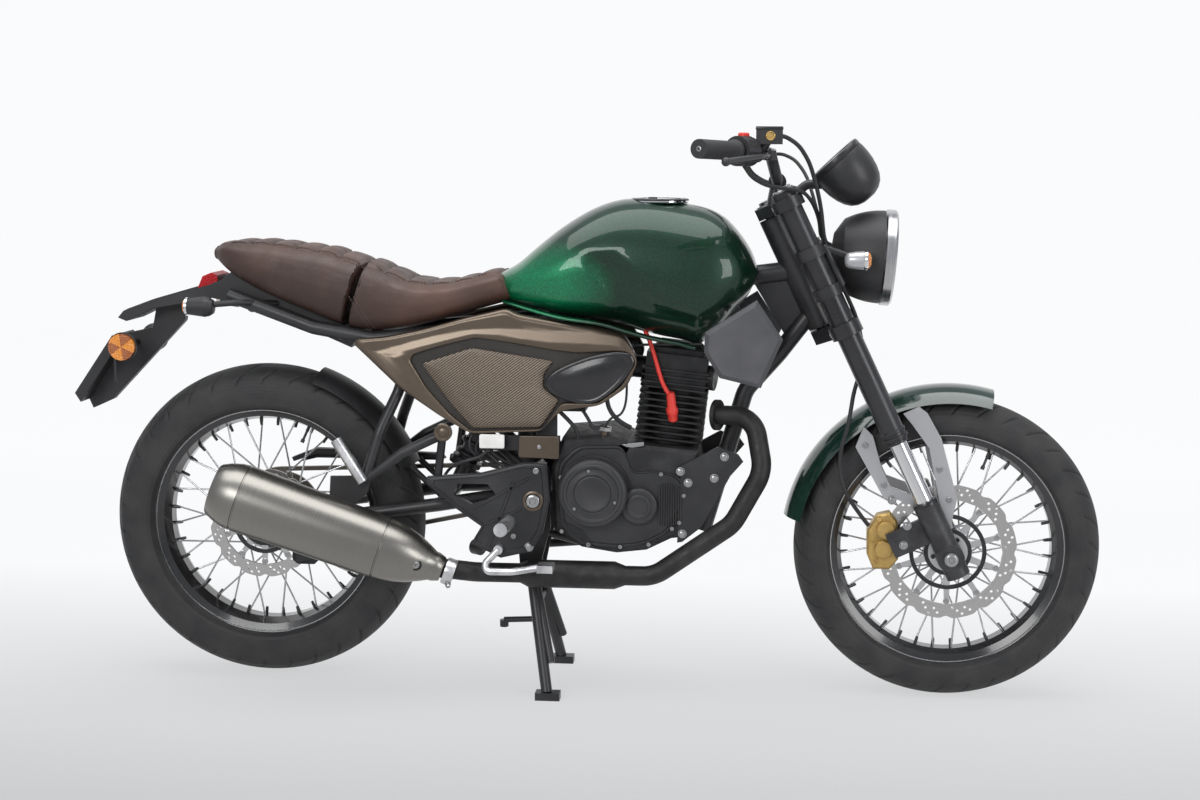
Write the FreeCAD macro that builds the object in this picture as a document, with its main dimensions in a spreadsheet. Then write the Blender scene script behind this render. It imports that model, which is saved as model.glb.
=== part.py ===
import FreeCAD, Part
import math
import os
import re
import Sketcher
from FreeCAD import Placement, Rotation, Vector

# A retro roadster motorcycle on its centre stand, in millimetres.
# X runs forward, Y to the rider's left and Z up from the floor.
# The origin lies on the floor under the middle of the whole machine.

doc = FreeCAD.newDocument("Motorcycle")
sheet = doc.addObject("Spreadsheet::Sheet", "Sizes")
# Driving dimensions
SIZES = {
    # Wheels and where their axles stand
    "wheelbase": 1347,
    "rear_axle_x": -631.5,
    "rear_axle_z": 323,
    "front_axle_z": 296,
    "front_tyre_radius": 296,
    "front_tyre_half": 55,
    "rear_tyre_radius": 313,
    "rear_tyre_half": 70,
    "bead_radius": 218,
    "rim_inner_radius": 204,
    "front_rim_half": 36,
    "rear_rim_half": 48,
    "spoke_radius": 1.8,
    "spoke_angle": 10,
    "front_flange_radius": 36,
    "front_flange_y": 26,
    "rear_flange_radius": 52,
    "rear_flange_y": 30,
    "hub_radius": 26,
    "axle_radius": 8,
    "axle_gap": 0.05,
    "front_disc_radius": 132,
    "front_disc_bore": 103,
    "front_disc_y": -56,
    "rear_disc_radius": 110,
    "rear_disc_bore": 84,
    "rear_disc_y": -60,
    "disc_thick": 4,
    "sprocket_y": 84,
    "sprocket_radius": 84,
    "drive_radius": 28,
    "drive_x": 20,
    "drive_z": 405,
    "chain_half": 4.3,
    "chain_width": 9,

    # Steering head and fork
    "rake": 25.6,
    "fork_offset": 38,
    "fork_half": 95,
    "stanchion_radius": 17.5,
    "fork_tube_radius": 23,
    "fork_tube_low": 248,
    "fork_top": 766,
    "lower_clamp_low": 468,
    "lower_clamp_high": 494,
    "upper_clamp_low": 731,
    "upper_clamp_high": 753,
    "head_tube_radius": 27,
    "stem_gap": 0.3,
    "leg_radius": 25,
    "leg_top": 112,
    "leg_low": -42,

    # Bars and lamp
    "bar_radius": 11,
    "bar_half_width": 368,
    "bar_end_x": 238,
    "bar_end_z": 1066,
    "bar_bend_y": 150,
    "bar_bend_x": 360,
    "bar_bend_z": 1059,
    "riser_y": 40,
    "riser_x": 375,
    "riser_z": 1004,
    "grip_radius": 16.5,
    "grip_length": 118,
    "lamp_x": 601,
    "lamp_z": 859,
    "lamp_radius": 92.5,
    "lamp_depth": 122,
    "lamp_tilt": 3.8,
    "meter_x": 481.5,
    "meter_z": 1051,
    "meter_radius": 56.5,
    "meter_tilt": 43,
    "fender_radius": 322,
    "fender_half": 64,
    "fender_drop": 32,
    "fender_front": 75,
    "fender_rear": 169.5,
    "sheet_metal": 3,

    # Frame, engine and pipes
    "pivot_x": -82.5,
    "pivot_z": 398,
    "rail_y": 92,
    "tube_radius": 14,
    "spine_radius": 19,
    "crank_x": 33,
    "crank_z": 411,
    "case_half": 100,
    "barrel_x": 175,
    "barrel_tilt": 6,
    "fin_count": 9,
    "fin_pitch": 12.5,
    "fin_thick": 3.5,
    "fin_half": 66,
    "pipe_radius": 19,
    "pipe_y": -112,
    "muffler_radius": 66,
    "muffler_y": -174,

    # Body, seats and covers
    "tank_half": 128,
    "seat_half": 118,
    "cover_y": 122,
    "cover_thick": 22,
    "panel_sink": 9,
    "cover_slope": 4,
    "shroud_y": 132,

    # Stands
    "stand_pivot_x": -98,
    "stand_pivot_z": 236,
    "stand_foot_x": -56,
    "stand_foot_y": 131,
    "stand_tube_radius": 11,

    # Cables and the discs' carriers
    "hose_radius": 4,
    "cable_radius": 3.5,
    "carrier_arms": 10,
    "carrier_radius": 38,
    "mount_plate": 6,
}
for row, (name, value) in enumerate(SIZES.items(), 1):
    sheet.set("A%d" % row, name)
    sheet.set("B%d" % row, str(value))
    sheet.setAlias("B%d" % row, name)
doc.recompute()


def bound(text):
    """Point each size's name in an expression at its cell."""
    def cell(match):
        word = match.group(0)
        return "Sizes." + word if word in SIZES else word
    return re.sub(r"[a-z][a-z0-9_]*", cell, str(text))


def number(text):
    """The present value of an expression."""
    return float(sheet.evalExpression(bound(text)))


class Read:
    """Gives a size by its name to the pieces that are shaped in code."""
    def __getattr__(self, name):
        return float(getattr(sheet, name))


z = Read()
finals = {}


# Helpers for bodies made from sketches

def body(name):
    made = doc.addObject("PartDesign::Body", name)
    made.Label = name
    finals[name] = made
    return made


def plane_of(owner, role):
    for feature in owner.Origin.OriginFeatures:
        if feature.Role == role:
            return feature


def attach(feature, owner, role, depth="0"):
    feature.AttachmentSupport = [(plane_of(owner, role), "")]
    feature.MapMode = "FlatFace"
    feature.setExpression("AttachmentOffset.Base.z", bound(depth))


def stand_at(piece, x, y, height, turn="0"):
    """Place a piece, turned about the Y axis."""
    piece.Placement = Placement(Vector(0, 0, 0), Rotation(Vector(0, 1, 0), 1))
    piece.setExpression("Placement.Base.x", bound(x))
    piece.setExpression("Placement.Base.y", bound(y))
    piece.setExpression("Placement.Base.z", bound(height))
    piece.setExpression("Placement.Rotation.Angle", bound(turn))


def outline(owner, role, points, depth="0", about=("0", "0")):
    """Closed sketch through points; a point marked arc bends the edge it lies on."""
    sketch = owner.newObject("Sketcher::SketchObject", owner.Name + "_sketch")
    attach(sketch, owner, role, depth)
    corners = [p for p in points if len(p) == 2]
    edges = []
    for i, p in enumerate(points):
        if len(p) == 2:
            edges.append([p, None])
        else:
            edges[-1][1] = p

    def at(p):
        return ["(%s) + (%s)" % (about[k], p[k]) for k in (0, 1)]

    def spot(p):
        pair = at(p)
        return Vector(number(pair[0]), number(pair[1]), 0)

    ends = []
    for i, (start, middle) in enumerate(edges):
        a = spot(start)
        b = spot(corners[(i + 1) % len(corners)])
        if middle is None:
            sketch.addGeometry(Part.LineSegment(a, b), False)
            ends.append((1, 2))
        else:
            sketch.addGeometry(Part.Arc(a, spot(middle), b), False)
            made = sketch.Geometry[-1]
            ends.append((1, 2) if (made.StartPoint - a).Length < 1e-6 else (2, 1))
    for i in range(len(edges)):
        after = (i + 1) % len(edges)
        sketch.addConstraint(Sketcher.Constraint("Coincident", i, ends[i][1], after, ends[after][0]))

    def pin(item, end, p):
        for k, kind in enumerate(("DistanceX", "DistanceY")):
            text = at(p)[k]
            made = sketch.addConstraint(Sketcher.Constraint(kind, -1, 1, item, end, number(text)))
            sketch.setExpression("Constraints[%d]" % made, bound(text))

    for i, (start, middle) in enumerate(edges):
        pin(i, ends[i][0], start)
        if middle is not None:
            mark = sketch.addGeometry(Part.Point(spot(middle)), True)
            pin(mark, 1, middle)
            sketch.addConstraint(Sketcher.Constraint("PointOnObject", mark, 1, i))
    return sketch


def ring(owner, role, radius, depth="0", about=("0", "0")):
    """Sketch of one circle."""
    sketch = owner.newObject("Sketcher::SketchObject", owner.Name + "_ring")
    attach(sketch, owner, role, depth)
    centre = Vector(number(about[0]), number(about[1]), 0)
    sketch.addGeometry(Part.Circle(centre, Vector(0, 0, 1), number(radius)), False)
    for k, kind in enumerate(("DistanceX", "DistanceY")):
        made = sketch.addConstraint(Sketcher.Constraint(kind, -1, 1, 0, 3, number(about[k])))
        sketch.setExpression("Constraints[%d]" % made, bound(about[k]))
    made = sketch.addConstraint(Sketcher.Constraint("Radius", 0, number(radius)))
    sketch.setExpression("Constraints[%d]" % made, bound(radius))
    return sketch


def pad(owner, sketch, length, middle=False, back=False):
    made = owner.newObject("PartDesign::Pad", owner.Name + "_pad")
    made.Profile = sketch
    made.setExpression("Length", bound(length))
    made.SideType = "Symmetric" if middle else "One side"
    made.Reversed = back
    return made


def pocket(owner, sketch, length, middle=False, back=False):
    made = owner.newObject("PartDesign::Pocket", owner.Name + "_pocket")
    made.Profile = sketch
    made.setExpression("Length", bound(length))
    made.SideType = "Symmetric" if middle else "One side"
    made.Reversed = back
    return made


def turned(owner, points, angle=360, role="XY_Plane", axis="V_Axis"):
    """Solid of revolution about the body's own Y axis: points are radius and Y."""
    made = owner.newObject("PartDesign::Revolution", owner.Name + "_turned")
    made.Profile = outline(owner, role, points)
    made.ReferenceAxis = (made.Profile[0], [axis])
    made.Angle = angle
    return made


def repeat(owner, features, count, role="Y_Axis"):
    """Copies of features all round an axis."""
    made = owner.newObject("PartDesign::PolarPattern", owner.Name + "_round")
    made.Originals = features
    made.Axis = (plane_of(owner, role), [""])
    made.Angle = 360
    made.Occurrences = count
    owner.Tip = made
    return made


def rod_feature(owner, radius, length, placement, kind="PartDesign::AdditiveCylinder"):
    """A cylinder inside a body, along its own Z axis before it is placed."""
    made = owner.newObject(kind, owner.Name + "_rod")
    made.AttachmentSupport = [(plane_of(owner, "XY_Plane"), "")]
    made.MapMode = "FlatFace"
    made.setExpression("Radius", bound(radius))
    made.setExpression("Height", bound(length))
    made.AttachmentOffset = placement
    return made


# Helpers for pieces shaped in code

def feature(name, shape):
    made = doc.addObject("Part::Feature", name)
    made.Label = name
    made.Shape = shape
    made.Placement = shape.Placement
    finals[name] = made
    return made


def flip(shape):
    """The same piece on the other side."""
    return shape.mirror(Vector(0, 0, 0), Vector(0, 1, 0))


def both(shape):
    """A piece and its twin on the other side."""
    return [shape, flip(shape)]


def tube(points, radius, bend=40, bore=0, share=0.48):
    """Round bar or tube along straight runs joined by tangent arcs."""
    points = [Vector(*p) for p in points]
    edges = []
    radii = []
    last = points[0]
    for i in range(1, len(points) - 1):
        before = (points[i - 1] - points[i])
        after = (points[i + 1] - points[i])
        room = share * min(before.Length, after.Length)
        before.normalize()
        after.normalize()
        half = before.getAngle(after) / 2
        if half > math.radians(89.5):
            continue
        back = min(bend / math.tan(half), room) if bend else room
        arc_radius = back * math.tan(half)
        radii.append(round(arc_radius))
        start = points[i] + before * back
        end = points[i] + after * back
        inward = before + after
        inward.normalize()
        centre = points[i] + inward * (arc_radius / math.sin(half))
        middle = centre - inward * arc_radius
        edges.append(Part.LineSegment(last, start).toShape())
        edges.append(Part.Arc(start, middle, end).toShape())
        last = end
    edges.append(Part.LineSegment(last, points[-1]).toShape())
    path = Part.Wire(edges)
    heading = points[1] - points[0]

    def swept(r):
        section = Part.Wire([Part.makeCircle(r, points[0], heading)])
        return path.makePipeShell([section], True, False)

    if not bend:
        print("cable bends, by radius:", radii)
    solid = swept(radius)
    return solid.cut(swept(bore)) if bore else solid


def cord(points, radius):
    """Cable along a route: each bend is as large as its two runs allow."""
    return tube(points, radius, bend=0, share=0.45)


def bar(a, b, radius):
    """Straight round bar from a to b."""
    start = Vector(*a)
    heading = Vector(*b) - start
    return Part.makeCylinder(radius, heading.Length, start, heading)


def slab(points, y_low, y_high):
    """Plate cut to an outline seen from the side."""
    corners = [Vector(x, y_low, height) for x, height in points]
    face = Part.Face(Part.makePolygon(corners + corners[:1]))
    return face.extrude(Vector(0, y_high - y_low, 0))


def block(x_low, x_high, y_low, y_high, low, high):
    return Part.makeBox(x_high - x_low, y_high - y_low, high - low, Vector(x_low, y_low, low))


def joined(shapes):
    made = shapes[0].multiFuse(shapes[1:]) if len(shapes) > 1 else shapes[0]
    return made.removeSplitter()


def soft_section(x, low, high, half, square=0.72, floor=0.86):
    """Closed smooth section across the machine, for tank and seats."""
    middle = (low + high) / 2 - 0.08 * (high - low)
    ring_points = [Vector(x, 0, high),
                   Vector(x, square * half, high - 0.13 * (high - low)),
                   Vector(x, half, middle),
                   Vector(x, floor * half, low + 0.06 * (high - low)),
                   Vector(x, 0, low),
                   Vector(x, -floor * half, low + 0.06 * (high - low)),
                   Vector(x, -half, middle),
                   Vector(x, -square * half, high - 0.13 * (high - low))]
    curve = Part.BSplineCurve()
    curve.interpolate(Points=ring_points, PeriodicFlag=True)
    return Part.Wire([curve.toShape()])


# Places that many pieces share
front_x = z.rear_axle_x + z.wheelbase
front_axle = Vector(front_x, 0, z.front_axle_z)
rear_axle = Vector(z.rear_axle_x, 0, z.rear_axle_z)
rake = math.radians(z.rake)
fork_up = Vector(-math.sin(rake), 0, math.cos(rake))
fork_ahead = Vector(math.cos(rake), 0, math.sin(rake))
FRONT_X = "rear_axle_x + wheelbase"


def fork_point(ahead, y, up):
    """A point given in the fork's own directions, from the front axle."""
    return front_axle + fork_ahead * ahead + fork_up * up + Vector(0, y, 0)


def fork_place(piece, ahead="0", up="0"):
    """Stand a piece on the fork's line, its own Z axis along the fork."""
    lean = "(rake * 1deg)"
    x = "%s + (%s) * cos%s - (%s) * sin%s" % (FRONT_X, ahead, lean, up, lean)
    height = "front_axle_z + (%s) * sin%s + (%s) * cos%s" % (ahead, lean, up, lean)
    stand_at(piece, x, "0", height, "-rake")


# Wheels

def tyre(name, radius, half, rim_half):
    """Solid round tyre seated on the rim's bead seats."""
    piece = body(name)
    side = "%s * 0.985" % half
    turned(piece, [("bead_radius", "-(%s) + 6" % rim_half),
                   ("bead_radius + 11", "-(%s) + 6" % rim_half),
                   ("bead_radius + 16", "-(%s) + 1" % side),
                   ("bead_radius + 38", "-(%s)" % half, "arc"),
                   ("(%s) - 22" % radius, "-(%s) * 0.86" % half),
                   (radius, "0", "arc"),
                   ("(%s) - 22" % radius, "(%s) * 0.86" % half),
                   ("bead_radius + 38", half, "arc"),
                   ("bead_radius + 16", "(%s) - 1" % side),
                   ("bead_radius + 11", "(%s) - 6" % rim_half),
                   ("bead_radius", "(%s) - 6" % rim_half)])
    return piece


def rim(name, half):
    """Drop-centre rim with a flange each side."""
    piece = body(name)
    turned(piece, [("rim_inner_radius", "-14"),
                   ("rim_inner_radius", "14"),
                   ("bead_radius - 6", "(%s) - 8" % half),
                   ("bead_radius + 10", half),
                   ("bead_radius + 10", "(%s) - 5" % half),
                   ("bead_radius", "(%s) - 6" % half),
                   ("bead_radius", "-(%s) + 6" % half),
                   ("bead_radius + 10", "-(%s) + 5" % half),
                   ("bead_radius + 10", "-(%s)" % half),
                   ("bead_radius - 6", "-(%s) + 8" % half)])
    return piece


def spoked_hub(name, flange_radius, flange_y, spoke_rows, disc_y, disc_bore):
    """Turned hub with two flanges, crossed wire spokes and the brake disc's carrier."""
    piece = body(name)
    turned(piece, [("axle_radius + axle_gap", "(%s) - disc_thick / 2 - 1" % disc_y),
                   ("carrier_radius", "(%s) - disc_thick / 2 - 1" % disc_y),
                   ("carrier_radius", "(%s) + disc_thick / 2 + 1" % disc_y),
                   ("hub_radius", "(%s) + disc_thick / 2 + 13" % disc_y),
                   ("hub_radius", "-(%s) - 4" % flange_y),
                   ("(%s) + 7" % flange_radius, "-(%s) - 4" % flange_y),
                   ("(%s) + 7" % flange_radius, "-(%s) + 4" % flange_y),
                   ("hub_radius", "-(%s) + 9" % flange_y),
                   ("hub_radius", "(%s) - 9" % flange_y),
                   ("(%s) + 7" % flange_radius, "(%s) - 4" % flange_y),
                   ("(%s) + 7" % flange_radius, "(%s) + 4" % flange_y),
                   ("hub_radius", "(%s) + 4" % flange_y),
                   ("hub_radius", "(%s) + 12" % flange_y),
                   ("axle_radius + axle_gap", "(%s) + 12" % flange_y)])
    for side in (1, -1):
        for lead in (1, -1):
            wire = spoke(piece, number(flange_radius), side * number(flange_y), side, lead)
            repeat(piece, [wire], spoke_rows)
    disc_carrier(piece, disc_bore, disc_y)
    return piece


def spoke(piece, flange_radius, flange_y, side, lead):
    """One wire from a flange to the rim, leading or trailing."""
    hole = math.radians(lead * 55 + side * 10)
    seat = math.radians(lead * z.spoke_angle * 0.5 + side * 10)
    inner = Vector(flange_radius * math.cos(hole), flange_y + lead * 2.2, flange_radius * math.sin(hole))
    reach = z.rim_inner_radius - 0.5
    outer = Vector(reach * math.cos(seat), side * 6, reach * math.sin(seat))
    heading = outer - inner
    turn = Rotation(Vector(0, 0, 1), heading)
    return rod_feature(piece, "spoke_radius", str(round(heading.Length, 3)), Placement(inner, turn))


def brake_disc(name, radius, bore, y, waves):
    """Wave-edged brake disc with a ring of holes."""
    piece = body(name)
    pad(piece, ring(piece, "XZ_Plane", radius, "-(%s)" % y), "disc_thick", middle=True)
    pocket(piece, ring(piece, "XZ_Plane", bore, "-(%s)" % y), "disc_thick * 3", middle=True)
    bite = pocket(piece, ring(piece, "XZ_Plane", "11", "-(%s)" % y, ("(%s) + 6" % radius, "0")),
                  "disc_thick * 3", middle=True)
    repeat(piece, [bite], waves)
    middle = "((%s) + (%s)) / 2" % (radius, bore)
    hole = pocket(piece, ring(piece, "XZ_Plane", "3.5", "-(%s)" % y, ("(%s) * cos(15deg)" % middle,
                                                                    "(%s) * sin(15deg)" % middle)),
                  "disc_thick * 3", middle=True)
    repeat(piece, [hole], waves)
    return piece


def disc_carrier(piece, bore, y):
    """Arms from the hub's right end out to the disc's inner edge."""
    reach = "(%s) - 0.3" % bore
    arm_plate = pad(piece, outline(piece, "XZ_Plane", [("-7", "carrier_radius - 4"), ("7", "carrier_radius - 4"),
                                                       ("4.5", reach), ("-4.5", reach)], "-(%s)" % y),
                    "disc_thick", middle=True)
    return repeat(piece, [arm_plate], int(z.carrier_arms))


tyre("front_tyre", "front_tyre_radius", "front_tyre_half", "front_rim_half")
rim("front_rim", "front_rim_half")
spoked_hub("front_hub", "front_flange_radius", "front_flange_y", 9, "front_disc_y", "front_disc_bore")
brake_disc("front_disc", "front_disc_radius", "front_disc_bore", "front_disc_y", 12)
tyre("rear_tyre", "rear_tyre_radius", "rear_tyre_half", "rear_rim_half")
rim("rear_rim", "rear_rim_half")
spoked_hub("rear_hub", "rear_flange_radius", "rear_flange_y", 9, "rear_disc_y", "rear_disc_bore")
brake_disc("rear_disc", "rear_disc_radius", "rear_disc_bore", "rear_disc_y", 12)
for name in ("front_tyre", "front_rim", "front_hub", "front_disc"):
    stand_at(finals[name], FRONT_X, "0", "front_axle_z")
for name in ("rear_tyre", "rear_rim", "rear_hub", "rear_disc"):
    stand_at(finals[name], "rear_axle_x", "0", "rear_axle_z")

# Steering

def fork_legs(name, radius, low, high):
    """The same round length on both fork legs."""
    piece = body(name)
    for side in ("fork_half", "-fork_half"):
        leg = rod_feature(piece, radius, "(%s) - (%s)" % (high, low), Placement())
        leg.setExpression("AttachmentOffset.Base.y", bound(side))
        leg.setExpression("AttachmentOffset.Base.z", bound(low))
    fork_place(piece)
    return piece


def fork_solid(shape):
    """Move a shape drawn in the fork's own directions to its place."""
    moved = shape.copy()
    moved.Placement = Placement(front_axle, Rotation(Vector(0, 1, 0), -z.rake))
    return moved


def clamp_plate(low, high, stem):
    """One fork clamp: bored bosses on both tubes and a bridge behind them."""
    height = high - low
    half = z.fork_half
    wall = z.fork_tube_radius + 8
    plan = [(-stem - 26, -26), (-stem - 26, 26), (-26, half - 26), (24, half - 22),
            (4, 30), (4, -30), (24, -half + 22), (-26, -half + 26)]
    corners = [Vector(x, y, low) for x, y in plan]
    plate = Part.Face(Part.makePolygon(corners + corners[:1])).extrude(Vector(0, 0, height))
    for side in (half, -half):
        plate = plate.fuse(Part.makeCylinder(wall, height, Vector(0, side, low)))
    for side in (half, -half):
        plate = plate.cut(Part.makeCylinder(z.fork_tube_radius, height + 2, Vector(0, side, low - 1)))
    return plate


def triple_clamps():
    lower = clamp_plate(z.lower_clamp_low, z.lower_clamp_high, z.fork_offset)
    upper = clamp_plate(z.upper_clamp_low, z.upper_clamp_high, z.fork_offset)
    stem = Part.makeCylinder(14, z.upper_clamp_high + 8 - z.lower_clamp_low,
                             Vector(-z.fork_offset, 0, z.lower_clamp_low))
    pieces = fork_solid(joined([lower, upper, stem]))
    risers = []
    for side in (z.riser_y, -z.riser_y):
        base = fork_point(-z.fork_offset + 12, side, z.upper_clamp_high - 2)
        top = Vector(z.riser_x, side, z.riser_z)
        risers.append(bar(base, top, 12))
        risers.append(Part.makeCylinder(z.bar_radius + 6, 22, top - Vector(0, 11, 0), Vector(0, 1, 0)))
    stalk = tube([fork_point(-4, 0, z.upper_clamp_high - 10), fork_point(48, 0, z.upper_clamp_high + 4),
                  (z.meter_x + 20, 0, z.meter_z - 52)], 9, 20)
    made = joined([pieces, stalk] + risers).cut(finals["instrument"].Shape)
    hole = Part.makeCylinder(z.bar_radius, 200, Vector(z.riser_x, -100, z.riser_z), Vector(0, 1, 0))
    return feature("triple_clamps", made.cut(hole))


def bar_path():
    """Middle line of the handlebar from its right end to its left."""
    right = [(z.bar_end_x, -z.bar_half_width, z.bar_end_z),
             (z.bar_bend_x, -z.bar_bend_y, z.bar_bend_z),
             (z.riser_x, -z.riser_y - 22, z.riser_z)]
    return right + [(x, -y, height) for x, y, height in reversed(right)]


def grip_spot(inward, side=-1):
    """Point on the handlebar's outer run, measured from its end."""
    end = Vector(z.bar_end_x, z.bar_half_width, z.bar_end_z)
    bend = Vector(z.bar_bend_x, z.bar_bend_y, z.bar_bend_z)
    heading = bend - end
    heading.normalize()
    spot = end + heading * inward
    return Vector(spot.x, side * spot.y, spot.z)


def handlebar():
    return feature("handlebar", tube(bar_path(), z.bar_radius, 45))


def around_bar(start, length, radius, side):
    """Sleeve on the bar's outer run."""
    a = grip_spot(start, side)
    b = grip_spot(start + length, side)
    outer = bar(a, b, radius)
    return outer.cut(bar(a - (b - a), b + (b - a), z.bar_radius))


def grips():
    pieces = []
    for side in (-1, 1):
        pieces.append(around_bar(8, z.grip_length, z.grip_radius, side))
        end = grip_spot(-4, side)
        pieces.append(bar(end, grip_spot(0, side), 17))
    return feature("handlebar_grips", Part.makeCompound(pieces))


def lever_knuckle(side):
    """Where a hand lever turns, ahead of its perch on the bar."""
    return grip_spot(z.grip_length + 70, side) + Vector(30, 0, -6)


def hand_controls():
    """Switch housing and lever perch on each bar, with the brake reservoir on the right."""
    pieces = []
    inner = 8 + z.grip_length + 1
    for side in (-1, 1):
        pieces.append(around_bar(inner, 42, 27, side))
        knuckle = lever_knuckle(side)
        arm_piece = bar(grip_spot(inner + 61, side), knuckle, 8)
        boss = Part.makeCylinder(11, 18, knuckle - Vector(0, 0, 9))
        bar_room = bar(grip_spot(0, side), grip_spot(inner + 120, side), z.bar_radius)
        perch_piece = joined([around_bar(inner + 50, 22, 19, side), arm_piece.cut(bar_room), boss])
        pieces.append(perch_piece)
    perch = grip_spot(inner + 61, -1)
    well = block(perch.x + 4, perch.x + 52, perch.y - 22, perch.y + 24, perch.z + 14, perch.z + 46)
    foot = block(perch.x + 8, perch.x + 24, perch.y - 8, perch.y + 8, perch.z + 12, perch.z + 20)
    neck = bar((perch.x + 14, perch.y, perch.z + 4), (perch.x + 24, perch.y, perch.z + 20), 9)
    neck = neck.cut(bar(grip_spot(0, -1), grip_spot(inner + 120, -1), z.bar_radius + 0.2))
    pieces[1] = joined([pieces[1], well, foot, neck])
    return feature("hand_controls", Part.makeCompound(pieces))


def hand_levers():
    """Brake and clutch levers ahead of the grips."""
    pieces = []
    inner = 8 + z.grip_length + 61
    for side in (-1, 1):
        knuckle = lever_knuckle(side)
        middle = grip_spot(inner - 70, side) + Vector(52, 0, -10)
        tip = grip_spot(2, side) + Vector(44, 0, -22)
        lever = tube([knuckle, middle, tip], 6, 60).fuse(Part.makeSphere(8, tip)).removeSplitter()
        pieces.append(lever.cut(finals["hand_controls"].Shape))
    return feature("hand_levers", Part.makeCompound(pieces))


def headlight(name, points):
    piece = body(name)
    turned(piece, points)
    piece.Placement = Placement(Vector(0, 0, 0), Rotation(Vector(0, 0, 1), -90))
    tilt = Rotation(Vector(0, 1, 0), z.lamp_tilt).multiply(Rotation(Vector(0, 0, 1), -90))
    piece.Placement = Placement(Vector(z.lamp_x, 0, z.lamp_z), tilt)
    piece.setExpression("Placement.Base.x", bound("lamp_x"))
    piece.setExpression("Placement.Base.z", bound("lamp_z"))
    return piece


def headlights():
    """Bucket, bright ring and glass, turned about the lamp's axis."""
    headlight("headlight_bucket", [("0", "-lamp_depth"), ("40", "-lamp_depth + 4"),
                                   ("lamp_radius - 24", "-lamp_depth + 22"),
                                   ("lamp_radius - 8", "-62", "arc"),
                                   ("lamp_radius - 3", "-23"), ("0", "-23")])
    headlight("headlight_ring", [("lamp_radius - 3", "-23"), ("lamp_radius", "-20"),
                                 ("lamp_radius", "-4"), ("lamp_radius - 4", "0"),
                                 ("lamp_radius - 12", "-2"), ("lamp_radius - 12", "-23")])
    headlight("headlight_lens", [("0", "-23"), ("lamp_radius - 12", "-23"),
                                 ("lamp_radius - 12", "-8"), ("lamp_radius * 0.5", "1", "arc"),
                                 ("6", "4"), ("0", "4")])


def lamp_brackets():
    """Ears that carry the headlight and the meter, with the front lamps."""
    pieces = []
    for side in (-1, 1):
        ear = fork_point(z.fork_tube_radius + 2, side * z.fork_half, 639)
        low = fork_point(z.fork_tube_radius + 2, side * z.fork_half, 559)
        shell = Vector(z.lamp_x - 62, side * (z.lamp_radius - 6), z.lamp_z - 2)
        band = Part.makeCylinder(z.fork_tube_radius + 5, 22, Vector(0, side * z.fork_half, 628))
        lower_band = Part.makeCylinder(z.fork_tube_radius + 5, 22, Vector(0, side * z.fork_half, 548))
        tube_room = Part.makeCylinder(z.fork_tube_radius, 300, Vector(0, side * z.fork_half, 500))
        shape = joined([fork_solid(band), fork_solid(lower_band), bar(ear, shell, 7),
                        bar(low + fork_ahead * 4, ear + fork_ahead * 4, 7)])
        pieces.append(shape.cut(fork_solid(tube_room)).cut(finals["headlight_bucket"].Shape))
    return pieces


def meter():
    piece = body("instrument")
    turned(piece, [("0", "0"), ("0", "-105"), ("meter_radius - 26", "-98"), ("meter_radius - 10", "-76"),
                   ("meter_radius", "-56"), ("meter_radius", "-28"),
                   ("meter_radius - 6", "-6"), ("meter_radius - 16", "0")])
    face_up = Rotation(Vector(0, 1, 0), Vector(-math.sin(math.radians(z.meter_tilt)), 0,
                                               math.cos(math.radians(z.meter_tilt))))
    piece.Placement = Placement(Vector(z.meter_x, 0, z.meter_z), face_up)
    piece.setExpression("Placement.Base.x", bound("meter_x"))
    piece.setExpression("Placement.Base.z", bound("meter_z"))
    return piece


def curved_guard(radius, half, drop, first, last, centre):
    """Mudguard: an arched section swept round a wheel between two angles."""
    thick = z.sheet_metal
    outer = Part.Arc(Vector(radius - drop, -half, 0), Vector(radius, 0, 0),
                     Vector(radius - drop, half, 0)).toShape()
    inner = Part.Arc(Vector(radius - drop, half - thick, 0), Vector(radius - thick, 0, 0),
                     Vector(radius - drop, -half + thick, 0)).toShape()
    lip_a = Part.LineSegment(Vector(radius - drop, half, 0), Vector(radius - drop, half - thick, 0)).toShape()
    lip_b = Part.LineSegment(Vector(radius - drop, thick - half, 0), Vector(radius - drop, -half, 0)).toShape()
    face = Part.Face(Part.Wire([outer, lip_a, inner, lip_b]))
    face.rotate(Vector(0, 0, 0), Vector(0, 1, 0), -last)
    solid = face.revolve(Vector(0, 0, 0), Vector(0, 1, 0), last - first)
    solid.translate(centre)
    return solid


def front_fender():
    guard = curved_guard(z.fender_radius, z.fender_half, z.fender_drop,
                         z.fender_front, z.fender_rear, front_axle)
    return feature("front_fender", guard)


def fender_braces():
    """Cast arms from the fork legs up and back to the mudguard."""
    pieces = []
    for side in (-1, 1):
        y_low, y_high = sorted((side * (z.fender_half + 0.4), side * (z.fender_half + 6)))
        near = [(718, 348), (698, 383), (674, 499), (640, 545), (622, 566),
                (652, 580), (668, 568), (696, 519), (729, 403)]
        far = [(590, 400), (612, 404), (584, 460), (566, 522), (548, 540), (533, 500)]
        web = [(600, 404), (690, 372), (690, 392), (600, 424)]
        shape = joined([slab(near, y_low, y_high), slab(far, y_low, y_high), slab(web, y_low, y_high)])
        leg = fork_point(0, side * z.fork_half, 96)
        shape = shape.fuse(bar(leg - Vector(0, side * 20, 0), (leg.x, side * z.fender_half, leg.z), 8))
        legs = Part.makeCylinder(z.leg_radius, 300, Vector(0, side * z.fork_half, 0))
        shape = shape.cut(fork_solid(legs))
        pieces += shape.Solids
    return feature("fender_braces", Part.makeCompound(pieces))


front_pistons = [(594, 340, 17), (591, 302, 17)]


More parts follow.
